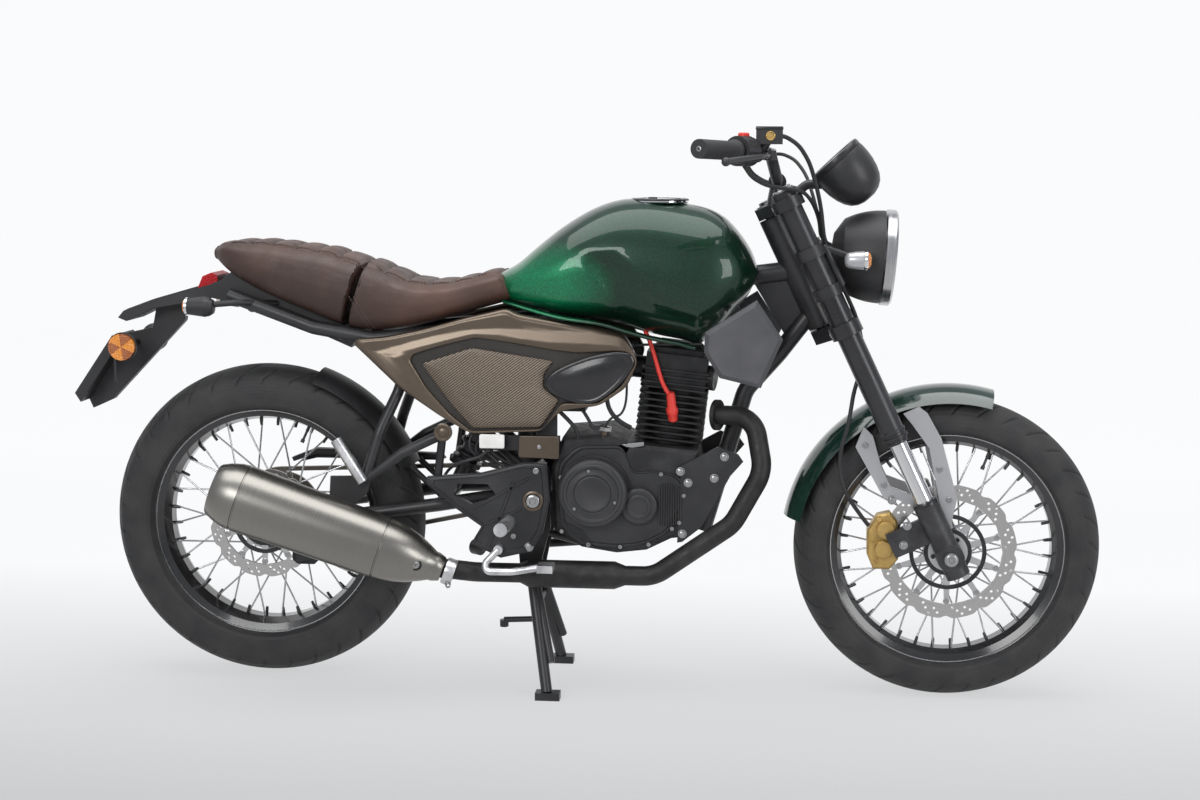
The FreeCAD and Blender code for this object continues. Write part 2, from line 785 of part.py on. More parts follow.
def fork_lowers():
    """Axle carriers under the fork's bright tubes, the right one lugged for its caliper."""
    pieces = []
    for side in (-1, 1):
        leg = Part.makeCone(z.leg_radius - 2, z.leg_radius, z.leg_top - z.leg_low,
                            Vector(0, side * z.fork_half, z.leg_low))
        boss = Part.makeCylinder(z.leg_radius + 1, 46, Vector(0, side * z.fork_half - 23, 0),
                                 Vector(0, 1, 0))
        shape = leg.fuse(boss)
        if side < 0:
            lug = Part.makeBox(83, 15, 50, Vector(-95, -z.fork_half + 5.9, 36))
            shape = shape.fuse(lug)
        shape = shape.cut(Part.makeCylinder(z.axle_radius, 120, Vector(0, side * z.fork_half - 60, 0),
                                            Vector(0, 1, 0)))
        shape = fork_solid(shape.removeSplitter())
        if side < 0:
            for x, height, radius in front_pistons:
                room = Part.makeCylinder(radius + 0.5, 7, Vector(x, z.front_disc_y - 23.5, height),
                                         Vector(0, 1, 0))
                shape = shape.cut(room)
        pieces.append(shape)
    return feature("fork_lowers", Part.makeCompound(pieces))


def carrier_end(disc_y):
    """How far to the right a hub reaches with its disc's carrier."""
    return -disc_y + z.disc_thick / 2 + 1


def axle(name, centre, reach, right_hub, right_seat, left_hub, left_seat, open_side):
    """Wheel axle with its spacers outside the hub, a nut at each end and one hollow end."""
    y = Vector(0, 1, 0)
    start = Vector(0, -reach - 10, 0)
    shape = Part.makeCylinder(z.axle_radius, 2 * reach + 20, start, y)
    shape = shape.fuse(Part.makeCylinder(13, 10, start, y))
    shape = shape.fuse(Part.makeCylinder(13, 10, Vector(0, reach, 0), y))
    for low, high in ((-right_seat, -right_hub - 0.5), (left_hub + 0.5, left_seat)):
        shape = shape.fuse(Part.makeCylinder(15, high - low, Vector(0, low, 0), y))
    mouth = start if open_side < 0 else -start - y * 40
    shape = shape.cut(Part.makeCylinder(4, 40, mouth, y))
    shape.translate(centre)
    return feature(name, shape.removeSplitter())


def caliper(name, centre, plan, pistons, y_disc):
    """Brake caliper straddling its disc with a working gap each side, a boss over each piston."""
    gap = z.disc_thick / 2 + 1
    shape = slab(plan, y_disc - 18, y_disc + 16)
    edges = [e for e in shape.Edges if e.BoundBox.YLength < 1]
    shape = shape.makeChamfer(4, edges)
    for x, height, radius in pistons:
        boss = Part.makeCylinder(radius, 5, Vector(x, y_disc - 23, height), Vector(0, 1, 0))
        shape = shape.fuse(boss)
    disc_room = Part.makeCylinder(centre[2], 2 * gap, Vector(centre[0], y_disc - gap, centre[1]),
                                  Vector(0, 1, 0))
    return feature(name, shape.cut(disc_room).removeSplitter())


def control_cables():
    """Brake hose from master cylinder to caliper, two looms into the lamp and the clutch cable."""
    hose = [(366, -180, 1090), (386, -166, 1090), (412, -150, 1074), (432, -128, 1044), (446, -96, 1004),
            (458, -70, 956), fork_point(30, -56, 640), fork_point(29, -54, 560), fork_point(28, -54, 481),
            (545, -60, 680), (538, -62, 640), (527, -72, 606), (522, -80, 572), (517, -84, 540),
            (506, -84, 505), (502, -82, 465), (509, -80, 430), (523, -76, 399), (548, -68, 364),
            (562, -65, 346)]
    loom = [(313, -234, 1036), (326, -214, 1016), (352, -184, 1000), (388, -146, 994), (424, -104, 988),
            (446, -72, 962), (458, -46, 930), (461, -29, 897), (479, -22, 882)]
    clutch = [(364.5, 193.5, 1055), (384, 176, 1057), (410, 154, 1046), (432, 126, 1018), (446, 96, 978),
              (458, 72, 930), fork_point(36, 58, 640), fork_point(34, 54, 590), fork_point(24, 53, 545),
              fork_point(12, 52, 515), fork_point(9, 52, z.lower_clamp_high)]
    right = cord(loom, z.cable_radius)
    routes = [cord(hose, z.hose_radius), right, flip(right), cord(clutch, z.cable_radius)]
    held = [finals[node].Shape for node in ("hand_controls", "headlight_bucket", "front_caliper")]
    return feature("control_cables", Part.makeCompound([route.cut(held) for route in routes]))


fork_legs("fork_tubes", "fork_tube_radius", "fork_tube_low", "fork_top")
fork_legs("fork_stanchions", "stanchion_radius", "leg_top", "fork_tube_low")
meter()
headlights()
doc.recompute()
triple_clamps()
handlebar()
grips()
hand_controls()
hand_levers()
feature("lamp_brackets", Part.makeCompound(lamp_brackets()))
front_fender()
fork_lowers()
fender_braces()
caliper("front_caliper", (front_x, z.front_axle_z, z.front_disc_radius + 2.5),
        [(572, 262), (604, 262), (620, 282), (617, 356), (602, 374), (578, 368), (559, 338), (560, 290)],
        front_pistons, z.front_disc_y)
control_cables()
leg_face = z.fork_half - z.leg_radius - 0.5
axle("front_axle", front_axle, z.fork_half + z.leg_radius + 0.5, carrier_end(z.front_disc_y), leg_face,
     z.front_flange_y + 12, leg_face, -1)

# Frame and running gear

stand_hinge = Vector(20, 114, 266)
stand_lean = Vector(-0.3, 0.954, 0)
stand_lean.normalize()


def mirrored_tubes(points, radius, bend=60):
    return both(tube(points, radius, bend))


def spine_line():
    """Bends of the backbone tube, from the steering head down to the swingarm."""
    neck = fork_point(-z.fork_offset - 12, 0, z.upper_clamp_low - 112)
    back_x = z.pivot_x - 28
    return [neck, Vector(neck.x - 150, 0, neck.z - 20), Vector(-10, 0, 748), Vector(back_x, 0, 700),
            Vector(back_x, 0, z.pivot_z + 60)]


def seat_rails(radius):
    """The two tubes under the seat."""
    return mirrored_tubes([(-40, 20, 742), (-90, z.rail_y - 14, 732), (-400, z.rail_y - 8, 698),
                           (-520, z.rail_y - 12, 718), (-690, z.rail_y - 22, 778)], radius)


def seat_crossings(radius):
    """The tubes that join the seat rails."""
    return [Part.makeCylinder(radius, 2 * z.rail_y - 16, Vector(x, 8 - z.rail_y, height), Vector(0, 1, 0))
            for x, height in ((-70, 734), (-400, 699), (-640, 758))]


def frame():
    """Head tube, backbone, down tube, pivot plates and seat rails, welded up."""
    top = fork_point(-z.fork_offset, 0, z.upper_clamp_low - 3)
    low = fork_point(-z.fork_offset, 0, z.lower_clamp_high + 3)
    head = bar(low, top, z.head_tube_radius)
    neck = spine_line()[0]
    throat = fork_point(-z.fork_offset - 10, 0, z.lower_clamp_high + 34)
    back_x = z.pivot_x - 28
    spine = tube(spine_line(), z.spine_radius, 60)
    down = tube([throat, (throat.x - 60, 0, throat.z - 80), (320, 0, 598), (276, 0, 440),
                 (240, 0, 318)], 17, 60)
    gusset = slab([(neck.x + 10, neck.z - 10), (neck.x - 70, neck.z - 24),
                   (throat.x - 44, throat.z - 52), (throat.x, throat.z)], -4, 4)
    cross = seat_crossings(12)
    rails = seat_rails(z.tube_radius)
    stays = mirrored_tubes([(z.pivot_x - 34, 62, 452), (-190, 62, 520), (-398, 62, 692)], 11)
    plate = [(z.pivot_x - 44, 470), (z.pivot_x + 6, 470), (z.pivot_x + 26, 440), (z.pivot_x + 26, 330),
             (z.stand_pivot_x + 26, z.stand_pivot_z + 34), (z.stand_pivot_x + 16, z.stand_pivot_z - 16),
             (z.stand_pivot_x - 16, z.stand_pivot_z - 16), (z.stand_pivot_x - 26, 330),
             (z.pivot_x - 15, z.pivot_z - 26), (z.pivot_x - 15, z.pivot_z + 26), (z.pivot_x - 44, 440)]
    plates = both(slab(plate, 60, 68))
    cradle = Part.makeCylinder(15, 128, Vector(back_x, -64, z.pivot_z + 62), Vector(0, 1, 0))
    side_y = z.case_half + 0.3
    mount = slab([(200, 462), (270, 501), (309, 487), (319, 473), (295, 445), (241, 344), (204, 314), (194, 312)],
                 side_y, side_y + z.mount_plate)
    generator_room = Part.makeCylinder(63, 60, Vector(168, z.case_half - 10, 396), Vector(0, 1, 0))
    hanger = [mount.cut(generator_room), flip(mount)]
    for x, height in ((286, 473), (267, 430)):
        hanger.append(bar((x, -side_y - 1, height), (x, side_y + 1, height), 8))
    lug = bar((z.pivot_x - 2, 64, 292), (stand_hinge.x - 4, 92, stand_hinge.z - 4), 9)
    ear = Part.makeCylinder(15, 7, stand_hinge - stand_lean * 16, stand_lean)
    shock_lug = bar((back_x, 0, 636), (back_x - 34, 0, 630), 9)
    cover_pegs = [bar((x, side * 60, height), (x, side * (z.cover_y - z.cover_thick), height), 6)
                  for side in (-1, 1) for x, height in ((-300, 666), (-150, 735))]
    shape = joined(cover_pegs + [head, spine, down, shock_lug, gusset, cradle, lug, ear] + cross + rails + stays + plates + hanger)
    bore = bar(low - (top - low), top + (top - low), 14 + z.stem_gap)
    shape = shape.cut(bore)
    pivot_hole = Part.makeCylinder(9, 300, Vector(z.pivot_x, -150, z.pivot_z), Vector(0, 1, 0))
    stand_hole = Part.makeCylinder(7, 300, Vector(z.stand_pivot_x, -150, z.stand_pivot_z), Vector(0, 1, 0))
    shape = shape.cut(pivot_hole).cut(stand_hole)
    pin = Part.makeCylinder(6, 28, stand_hinge - stand_lean * 12, stand_lean)
    return feature("frame", shape.fuse(pin).removeSplitter())


def arm(side, y_back):
    """One swingarm leg from the pivot tube to its axle plate."""
    path = [(z.pivot_x - 6, side * 40, z.pivot_z), (z.pivot_x - 190, side * y_back, z.pivot_z - 24),
            (z.rear_axle_x + 40, side * y_back, z.rear_axle_z + 4)]
    leg = tube(path, 13.5, 60)
    plate = slab([(z.rear_axle_x - 34, z.rear_axle_z - 18), (z.rear_axle_x + 60, z.rear_axle_z - 12),
                  (z.rear_axle_x + 60, z.rear_axle_z + 22), (z.rear_axle_x - 34, z.rear_axle_z + 18)],
                 side * y_back - 6, side * y_back + 6)
    return leg.fuse(plate)


def swingarm():
    tube_y = 58
    pivot = Part.makeCylinder(22, 2 * tube_y, Vector(z.pivot_x, -tube_y, z.pivot_z), Vector(0, 1, 0))
    disc_arm = slab([(-546, 336), (-498, 342), (-506, 262), (-560, 250), (-566, 290)], -86, -78.3)
    cross = Part.makeCylinder(14, 196, Vector(z.pivot_x - 186, -88, z.pivot_z - 22), Vector(0, 1, 0))
    shape = joined([pivot, cross, disc_arm, arm(-1, 90), arm(1, 116)])
    bolt = Part.makeCylinder(8.05, 150, Vector(z.pivot_x, -75, z.pivot_z), Vector(0, 1, 0))
    shape = shape.cut(bolt)
    hole = Part.makeCylinder(z.axle_radius, 300, Vector(z.rear_axle_x, -150, z.rear_axle_z), Vector(0, 1, 0))
    return feature("swingarm", shape.cut(hole))


def pivot_bolt():
    y = Vector(0, 1, 0)
    shape = Part.makeCylinder(8, 152, Vector(z.pivot_x, -76, z.pivot_z), y)
    for start in (-82, 68):
        shape = shape.fuse(Part.makeCylinder(14, 14, Vector(z.pivot_x, start, z.pivot_z), y))
    return shape.removeSplitter()


def rear_shock():
    """Single damper with its coil between the swingarm and the frame's spine."""
    low = Vector(z.pivot_x - 176, 0, z.pivot_z - 4)
    high = Vector(z.pivot_x - 60, 0, 632)
    shape = bar(low, high, 13)
    heading = high - low
    for share in (0.2, 0.84):
        shape = shape.fuse(bar(low + heading * share, low + heading * (share + 0.04), 31))
    shape = shape.fuse(bar(low + heading * 0.2, low + heading * 0.84, 20.5))
    turns = 6
    for turn in range(turns):
        share = 0.28 + 0.56 * turn / turns
        shape = shape.fuse(Part.makeTorus(24, 5, low + heading * share, heading))
    return feature("rear_shock", shape.removeSplitter().cut(finals["frame"].Shape))


# Engine

def engine_case():
    """Crankcase with its side covers' seats, as one heavy block of true size."""
    half = z.case_half
    lower = [(-46, 330), (8, 297), (76, 287), (134, 294), (182, 318), (214, 322), (240, 440),
             (232, 489.3), (96, 503.6), (60, 520), (-30, 512), (-52, 450)]
    case = slab(lower, -half, half)
    edges = [e for e in case.Edges if abs(e.Length - 2 * half) > 1]
    case = case.makeChamfer(7, edges)
    case = case.fuse(Part.makeCylinder(70, 14, Vector(z.crank_x, -half - 14, z.crank_z), Vector(0, 1, 0)))
    case = case.fuse(Part.makeCylinder(62, 26, Vector(168, half, 396), Vector(0, 1, 0)))
    chain_room = block(-60, 62, z.sprocket_y - 12, half + 1, 342, 450)
    return feature("engine_case", case.cut(chain_room).removeSplitter())


def finned(name, core, half, count):
    """Cylinder block: a core carrying cooling fins at an even pitch."""
    piece = body(name)
    pad(piece, ring(piece, "XY_Plane", core), "fin_pitch * fin_count")
    points = [("-(%s)" % half, "-(%s) + 18" % half), ("-(%s) + 5" % half, "-(%s) + 5" % half, "arc"),
              ("-(%s) + 18" % half, "-(%s)" % half), ("(%s) - 18" % half, "-(%s)" % half),
              ("(%s) - 5" % half, "-(%s) + 5" % half, "arc"), (half, "-(%s) + 18" % half),
              (half, "(%s) - 18" % half), ("(%s) - 5" % half, "(%s) - 5" % half, "arc"),
              ("(%s) - 18" % half, half), ("-(%s) + 18" % half, half),
              ("-(%s) + 5" % half, "(%s) - 5" % half, "arc"), ("-(%s)" % half, "(%s) - 18" % half)]
    fin = pad(piece, outline(piece, "XY_Plane", points, "fin_pitch - fin_thick"), "fin_thick")
    row = piece.newObject("PartDesign::LinearPattern", name + "_row")
    row.Originals = [fin]
    row.Direction = (plane_of(piece, "Z_Axis"), [""])
    row.setExpression("Length", bound("fin_pitch * (fin_count - 1)"))
    row.setExpression("Occurrences", bound(count))
    piece.Tip = row
    return piece


def cylinder_head():
    shape = block(-60, 60, -58, 58, 0, 64)
    for level in range(3):
        fin = block(-66, 66, -66, 66, 6 + level * z.fin_pitch, 6 + level * z.fin_pitch + z.fin_thick)
        shape = shape.fuse(fin)
    cover = block(-48, 50, -48, 48, 64, 84)
    edges = [e for e in cover.Edges if e.BoundBox.ZMin > 83]
    shape = shape.fuse(cover.makeChamfer(10, edges))
    shape = shape.fuse(Part.makeCylinder(24, 30, Vector(48, -30, 24), Vector(1, -0.2, 0)))
    shape = shape.fuse(Part.makeCylinder(22, 34, Vector(-90, 0, 26), Vector(1, 0, 0)))
    shape = shape.removeSplitter()
    return feature("cylinder_head", shape)


def covers():
    y = Vector(0, 1, 0)
    pieces = []
    face = -z.case_half - 14
    clutch = Part.makeCylinder(66, 30, Vector(z.crank_x, face - 30, z.crank_z), y)
    rims = [e for e in clutch.Edges if e.BoundBox.YMax < face - 29]
    pieces.append(clutch.makeFillet(9, rims))
    small = Part.makeCylinder(36, 22, Vector(120, -z.case_half - 22, 384), y)
    rims = [e for e in small.Edges if e.BoundBox.YMax < -z.case_half - 21]
    pieces.append(small.makeFillet(6, rims))
    generator = Part.makeCylinder(58, 30, Vector(168, z.case_half + 26, 396), y)
    rims = [e for e in generator.Edges if e.BoundBox.YMin > z.case_half + 55]
    pieces.append(generator.makeFillet(10, rims))
    sprocket_cover = slab([(-40, 370), (40, 350), (84, 372), (84, 440), (20, 462), (-40, 440)],
                          z.case_half, z.case_half + 26)
    pieces.append(sprocket_cover)
    case = finals["engine_case"].Shape
    return feature("engine_covers", Part.makeCompound([piece.cut(case) for piece in pieces]))


def intake():
    """Rubber, throttle body and air box behind the cylinder head."""
    port = Vector(z.barrel_x - 96, 0, 635)
    shape = bar(port + Vector(20, 0, 7), (10, 0, 622), 21).cut(finals["cylinder_head"].Shape)
    shape = shape.fuse(bar((62, 0, 629), (24, 0, 624), 30))
    shape = shape.fuse(block(-84, 12, -74, 74, 560, 672))
    return feature("intake", shape.removeSplitter())


def exhaust():
    radius = z.pipe_radius
    y = z.pipe_y
    start = Vector(262, -38, 553)
    first = Vector(338, -70, 556)
    path = [start, first, (357, y + 8, 455), (300, y, 352), (150, y, 246),
            (-130, y, 246), (-196, y - 14, 249), (-264, y - 45, 263)]
    pipe = tube(path, radius, 70)
    ahead = Vector(1, 0, 0)
    box = Part.makeCylinder(27, 168, Vector(-94, y, 246), ahead)
    cone = Part.makeCone(27, radius - 2, 26, Vector(74, y, 246), ahead)
    cone_back = Part.makeCone(27, radius - 2, 20, Vector(-94, y, 246), ahead * -1)
    heading = first - start
    heading.normalize()
    flange = bar(start + heading * 1, start + heading * 9, 30)
    shape = joined([pipe, box, cone, cone_back, flange])
    return feature("exhaust_pipe", shape.cut(finals["muffler"].Shape))


def muffler():
    """Brushed silencer: link cone, body and end cone turned on one slanted axis."""
    piece = body("muffler")
    radius = "muffler_radius"
    turned(piece, [("0", "0"), ("24", "0"), ("29", "14"), ("29", "20"), ("54", "74"),
                   ("%s - 6" % radius, "120"), ("%s - 4" % radius, "150"), (radius, "430"),
                   ("%s - 2" % radius, "440"), ("44", "466"), ("40", "466"), ("36", "440"), ("0", "440")])
    front = Vector(-256, z.pipe_y - 44, 260)
    rear = Vector(-671, z.muffler_y - 14, 407)
    piece.Placement = Placement(front, Rotation(Vector(0, 1, 0), rear - front))
    return piece


# Tank, seat and covers

def tank():
    """Teardrop fuel tank, hollow below for the frame's spine."""
    sections = [(-168, 776, 826, 62), (-130, 768, 842, 84), (-85, 758, 880, 108),
                (-7, 745, 936, z.tank_half - 4), (71, 735, 967, z.tank_half),
                (150, 722, 969, z.tank_half + 2), (230, 712, 954, z.tank_half - 4),
                (290, 745, 920, z.tank_half - 24), (331, 800, 866, z.tank_half - 62)]
    wires = [soft_section(x, low, high, half) for x, low, high, half in sections]
    solid = Part.makeLoft(wires, True, False)
    roof = []
    spine = spine_line()[:4]
    for ahead, behind in zip(spine, spine[1:]):
        run = behind - ahead
        run.normalize()
        up = Vector(run.z, 0, -run.x) * (z.spine_radius + 0.3)
        roof += [(ahead + up), (behind + up)]
    tunnel = slab([(p.x, p.z) for p in roof] + [(roof[-1].x, 600), (roof[0].x, 600)], -34, 34)
    rail_room = block(-200, -4, -98, 98, 600, 760)
    well = Part.makeCylinder(58, 40, Vector(149, 0, 962), Vector(0, 0, 1))
    tail_cut = slab([(-90, 700), (-162, 860), (-300, 900), (-300, 700)], -200, 200)
    return feature("fuel_tank", solid.cut(tunnel).cut(rail_room).cut(well).cut(tail_cut))


def fuel_cap():
    piece = body("fuel_cap")
    turned(piece, [("0", "0"), ("54", "0"), ("56", "2"), ("56", "5"), ("52", "7"), ("0", "8.5")])
    piece.Placement = Placement(Vector(149, 0, 962.3), Rotation(Vector(1, 0, 0), 90))
    return piece


def seats():
    """One saddle line, parted by a slanting gap into the rider's and the passenger's seat."""
    half = z.seat_half
    sections = [(-722, 846, 873, half - 62), (-680, 812, 881, half - 30), (-610, 777, 882, half - 12),
                (-530, 744, 873, half - 4), (-460, 718, 858, half - 2), (-410, 709, 845, half),
                (-350, 716, 818, half), (-290, 729, 808, half), (-225, 747, 815, half - 6),
                (-160, 765, 828, half - 24), (-112, 777, 834, half - 34)]
    wires = [soft_section(x, low, high, half_width, 0.8, 0.9) for x, low, high, half_width in sections]
    saddle = Part.makeLoft(wires, True, False)
    ahead = slab([(-478, 650), (-402, 900), (200, 900), (200, 650)], -200, 200)
    behind = slab([(-481, 650), (-405, 900), (-800, 900), (-800, 650)], -200, 200)
    nose = slab([(-94, 700), (-166, 860), (200, 900), (200, 700)], -200, 200)
    carried = seat_rails(z.tube_radius + 0.3) + seat_crossings(12.3) + [finals["tail_fender"].Shape]
    feature("rider_seat", saddle.common(ahead).cut(nose).cut(carried))
    feature("pillion_seat", saddle.common(behind).cut(carried))


def side_covers():
    """Outer covers with a recessed window on both sides."""
    y = z.cover_y
    edge = [(-432, 699), (-375, 704), (-300, 720), (-222, 742), (-137, 762), (-118, 751), (-32, 737),
            (44, 726), (92, 714), (102, 691), (117, 666), (93, 614), (45, 581), (-32, 568),
            (-70, 527), (-206, 520), (-264, 552), (-342, 604), (-436, 690)]
    cover = slab(edge, y - z.cover_thick, y)
    rim_edges = [e for e in cover.Edges if e.BoundBox.YMin > y - 0.1]
    cover = cover.makeChamfer(z.cover_slope, rim_edges)
    oval = [(-56, 622), (-20, 646), (26, 671), (70, 679), (102, 679), (112, 662), (80, 622), (44, 586),
            (10, 584), (-28, 600)]
    badge_plate = slab(oval, y - z.panel_sink, y + 4)
    panel = [(-316, 656), (-205, 683), (-40, 659), (-66, 634), (-38, 590), (-66, 532), (-205, 526),
             (-244, 580)]
    panel_plate = slab(panel, y - z.panel_sink, y - 3)
    window = [(-325, 671), (-195, 704), (6, 674), (-32, 660), (-60, 640), (-30, 590), (-62, 529),
              (-206, 523), (-250, 560), (-293, 610)]
    cover = cover.cut(slab(window, y - z.panel_sink, y + 1))
    badge = [(-62, 624), (26, 677), (106, 684), (117, 663), (46, 580), (-31, 594)]
    cover = cover.cut(slab(badge, y - z.panel_sink, y + 1))
    cover = cover.cut(panel_plate).cut(badge_plate)
    feature("side_covers", Part.makeCompound(both(cover)))
    feature("side_panels", Part.makeCompound(both(panel_plate.cut(badge_plate))))
    feature("oval_covers", Part.makeCompound(both(badge_plate)))


def shrouds():
    y = z.shroud_y
    edge = [(243, 722), (340, 784), (390, 710), (350, 618), (272, 636), (242, 684)]
    plate = slab(edge, y - 26, y)
    edges = [e for e in plate.Edges if abs(e.BoundBox.YMin - y) < 0.1 and abs(e.BoundBox.YMax - y) < 0.1]
    plate = plate.makeChamfer(8, edges)
    peg = bar((300, 60, 748), (300, y - 20, 748), 7).cut(finals["fuel_tank"].Shape)
    plate = joined([plate, peg]).cut(finals["fuel_tank"].Shape)
    feature("shrouds", Part.makeCompound(both(plate)))


def tail():
    """Tail moulding, plate bracket, lamps and reflectors."""
    edge = [(-922, 729), (-910, 743), (-852, 763), (-770, 786), (-732, 797), (-712, 806), (-690, 822),
            (-640, 795), (-560, 759), (-456, 718), (-440, 700), (-452, 676), (-560, 722), (-640, 752),
            (-730, 770), (-850, 748), (-905, 722)]
    moulding = slab(edge, -52, 52)
    feature("tail_fender", moulding.cut(finals["frame"].Shape))
    plate = [(-856, 756), (-866, 706), (-930, 692), (-1009, 575), (-994, 541), (-952, 560), (-800, 720),
             (-790, 776)]
    shape = slab(plate, -9, 9)
    wing = slab([(-932, 694), (-1011.5, 578), (-1000, 560), (-918, 680)], -62, 62)
    carrier = Part.makeCylinder(6, 196, Vector(-898, -98, 676), Vector(0, 1, 0))
    feature("plate_bracket", joined([shape, wing, carrier]).cut(moulding))
    lamp = slab([(-766, 780), (-752, 812), (-735, 819), (-722, 814), (-722, 790)], -40, 40)
    feature("tail_light", lamp.cut(moulding))
    amber = [Part.makeCylinder(26, 9, Vector(-898, side * 98 - (9 if side < 0 else 0), 676),
                               Vector(0, 1, 0)) for side in (-1, 1)]
    feature("side_reflectors", Part.makeCompound(amber))
    lamps = []
    for side in (-1, 1):
        rod = tube([(-596, side * 46, 761), (-664, side * 100, 766), (-716, side * 110, 762)], 6, 40)
        rod = rod.cut(moulding).cut(finals["frame"].Shape)
        turns = [(13, 18, 8, -709), (18, 20, 9, -717), (20, 15, 38, -726)]
        heads = [Part.makeCone(front, rear, length, Vector(x, side * 112, 758), Vector(-1, 0, 0))
                 for front, rear, length, x in turns]
        lamps.append(joined([rod] + heads))
    feature("rear_lamps", Part.makeCompound(lamps))


# Foot controls and guards

def peg_brackets():
    """Cast footrest plates with the passenger's tube frames."""
    pieces = []
    plate = [(-288, 437), (-183, 446), (-100, 468), (-56, 468), (-50, 398), (-64, 330), (-86, 295), (-145, 281),
             (-203, 308), (-183, 342), (-232, 376), (-290, 425)]
    for side in (-1, 1):
        y_low, y_high = sorted((side * 126, side * 138))
        casting = slab(plate, y_low, y_high)
        window = slab([(-230, 425), (-170, 425), (-150, 400), (-200, 385), (-236, 402)],
                      y_low - 1, y_high + 1)
        casting = casting.cut(window)
        tie = Part.makeCylinder(12, 62, Vector(z.pivot_x + 6, min(side * 68, side * 130), 453), Vector(0, 1, 0))
        rear = tube([(-338, side * 84.4, 642), (-352, side * 87, 596), (-384, side * 116, 520),
                     (-410, side * 128, 430)], 11, 60)
        front = tube([(-258, side * 128, 520), (-340, side * 128, 480), (-412, side * 128, 424)], 10, 30)
        stem = bar((-270, side * 122, 432), (-258, side * 128, 524), 8)
        carrier = [casting, tie, rear, front, stem]
        if side < 0:
            carrier.append(slab([(-478, 434), (-398, 436), (-404, 405), (-440, 370), (-482, 370)], -136, -129))
        pieces.append(joined(carrier).cut(finals["muffler"].Shape))
    return feature("peg_brackets", Part.makeCompound(pieces))


def foot_pegs():
    pieces = []
    for side in (-1, 1):
        pieces.append(bar((-128, side * 138, 352), (-132, side * 236, 356), 13))
        pieces.append(bar((-464, side * 147, 508), (-412, side * 147, 426), 11))
    return pieces


def foot_controls():
    """Brake pedal on the right and gear lever on the left."""
    pedal = tube([(-148, -152, 300), (-188, -160, 258), (-120, -172, 262), (-40, -176, 276)], 7, 30)
    pad_piece = block(-66, -36, -214, -176, 270, 284)
    lever = tube([(-148, 152, 300), (-120, 158, 278), (20, 166, 290)], 6, 30)
    tip = bar((20, 150, 290), (20, 200, 290), 9)
    stems = [bar((-148, side * 138, 300), (-148, side * 156, 300), 9) for side in (-1, 1)]
    levers = [joined([pedal, pad_piece, stems[0]]), joined([lever, tip, stems[1]])]
    brackets = finals["peg_brackets"].Shape
    return feature("foot_controls", Part.makeCompound([piece.cut(brackets) for piece in levers + foot_pegs()]))


def hugger():
    guard = curved_guard(z.rear_tyre_radius + 13, 66, 26, 22, 70, rear_axle)
    stays = [bar((-338, side * 46, 441), (z.pivot_x - 186, side * 46, z.pivot_z - 22), 6)
             for side in (-1, 1)]
    return joined([guard] + stays).cut(finals["swingarm"].Shape)


def loop_face(offset):
    """Outline of a belt round both sprockets, grown by an offset."""
    a = Vector(z.rear_axle_x, 0, z.rear_axle_z)
    b = Vector(z.drive_x, 0, z.drive_z)
    big = z.sprocket_radius + offset
    small = z.drive_radius + offset
    along = b - a
    reach = along.Length
    along.normalize()
    aside = Vector(-along.z, 0, along.x)
    lean = math.asin((big - small) / reach)
    up = along * math.sin(lean) + aside * math.cos(lean)
    down = along * math.sin(lean) - aside * math.cos(lean)
    edges = [Part.LineSegment(a + up * big, b + up * small).toShape(),
             Part.Arc(b + up * small, b + along * small, b + down * small).toShape(),
             Part.LineSegment(b + down * small, a + down * big).toShape(),
             Part.Arc(a + down * big, a - along * big, a + up * big).toShape()]
    return Part.Face(Part.Wire(edges))


def chain():
    """Drive chain as one loop round both sprockets."""
    ring_face = loop_face(z.chain_half).cut(loop_face(-z.chain_half))
    solid = ring_face.Faces[0].extrude(Vector(0, z.chain_width, 0))
    solid.translate(Vector(0, z.sprocket_y - z.chain_width / 2, 0))
    drive = Part.makeCylinder(z.drive_radius - z.chain_half, 7,
                              Vector(z.drive_x, z.sprocket_y - 3.5, z.drive_z), Vector(0, 1, 0))
    shaft = Part.makeCylinder(12, 20, Vector(z.drive_x, z.sprocket_y - 12, z.drive_z), Vector(0, 1, 0))
    return feature("chain", joined([solid, drive, shaft]))


def chain_guard():
    top = [(-610, 432), (-560, 452), (-300, 446), (-290, 436), (-560, 440), (-606, 424)]
    shape = slab(top, 78, 96)
    side = slab([(-600, 420), (-560, 444), (-300, 440), (-300, 430), (-560, 430)], 93, 96)
    strut = bar((-420, 96, 436), (-420, 114, 352), 5)
    return joined([shape, side, strut]).cut(finals["swingarm"].Shape)


def sprocket():
    """Toothed plate and its carrier on the rear hub's left end."""
    y = Vector(0, 1, 0)
    hub_end = z.rear_flange_y + 12
    seat_y = z.sprocket_y - 3
    carrier = Part.makeCylinder(44, seat_y - hub_end, Vector(0, hub_end, 0), y)
    plate = Part.makeCylinder(z.sprocket_radius - z.chain_half - 0.8, 6, Vector(0, seat_y, 0), y)
    shape = carrier.fuse(plate)
    for k in range(6):
        turn = math.radians(60 * k + 30)
        spot = Vector(58 * math.cos(turn), seat_y - 1, 58 * math.sin(turn))
        shape = shape.cut(Part.makeCylinder(11, 9, spot, y))
    bore = Part.makeCylinder(z.axle_radius + z.axle_gap, 60, Vector(0, hub_end - 1, 0), y)
    shape = shape.cut(bore)
    shape.translate(rear_axle)
    return feature("sprocket", shape.removeSplitter())


def rear_caliper():
    y = z.rear_disc_y
    return caliper("rear_caliper", (z.rear_axle_x, z.rear_axle_z, z.rear_disc_radius + 2.5),
                   [(-572, 252), (-562, 244), (-528, 244), (-518, 254), (-518, 292), (-528, 302), (-562, 302),
                    (-572, 294)], [], y)


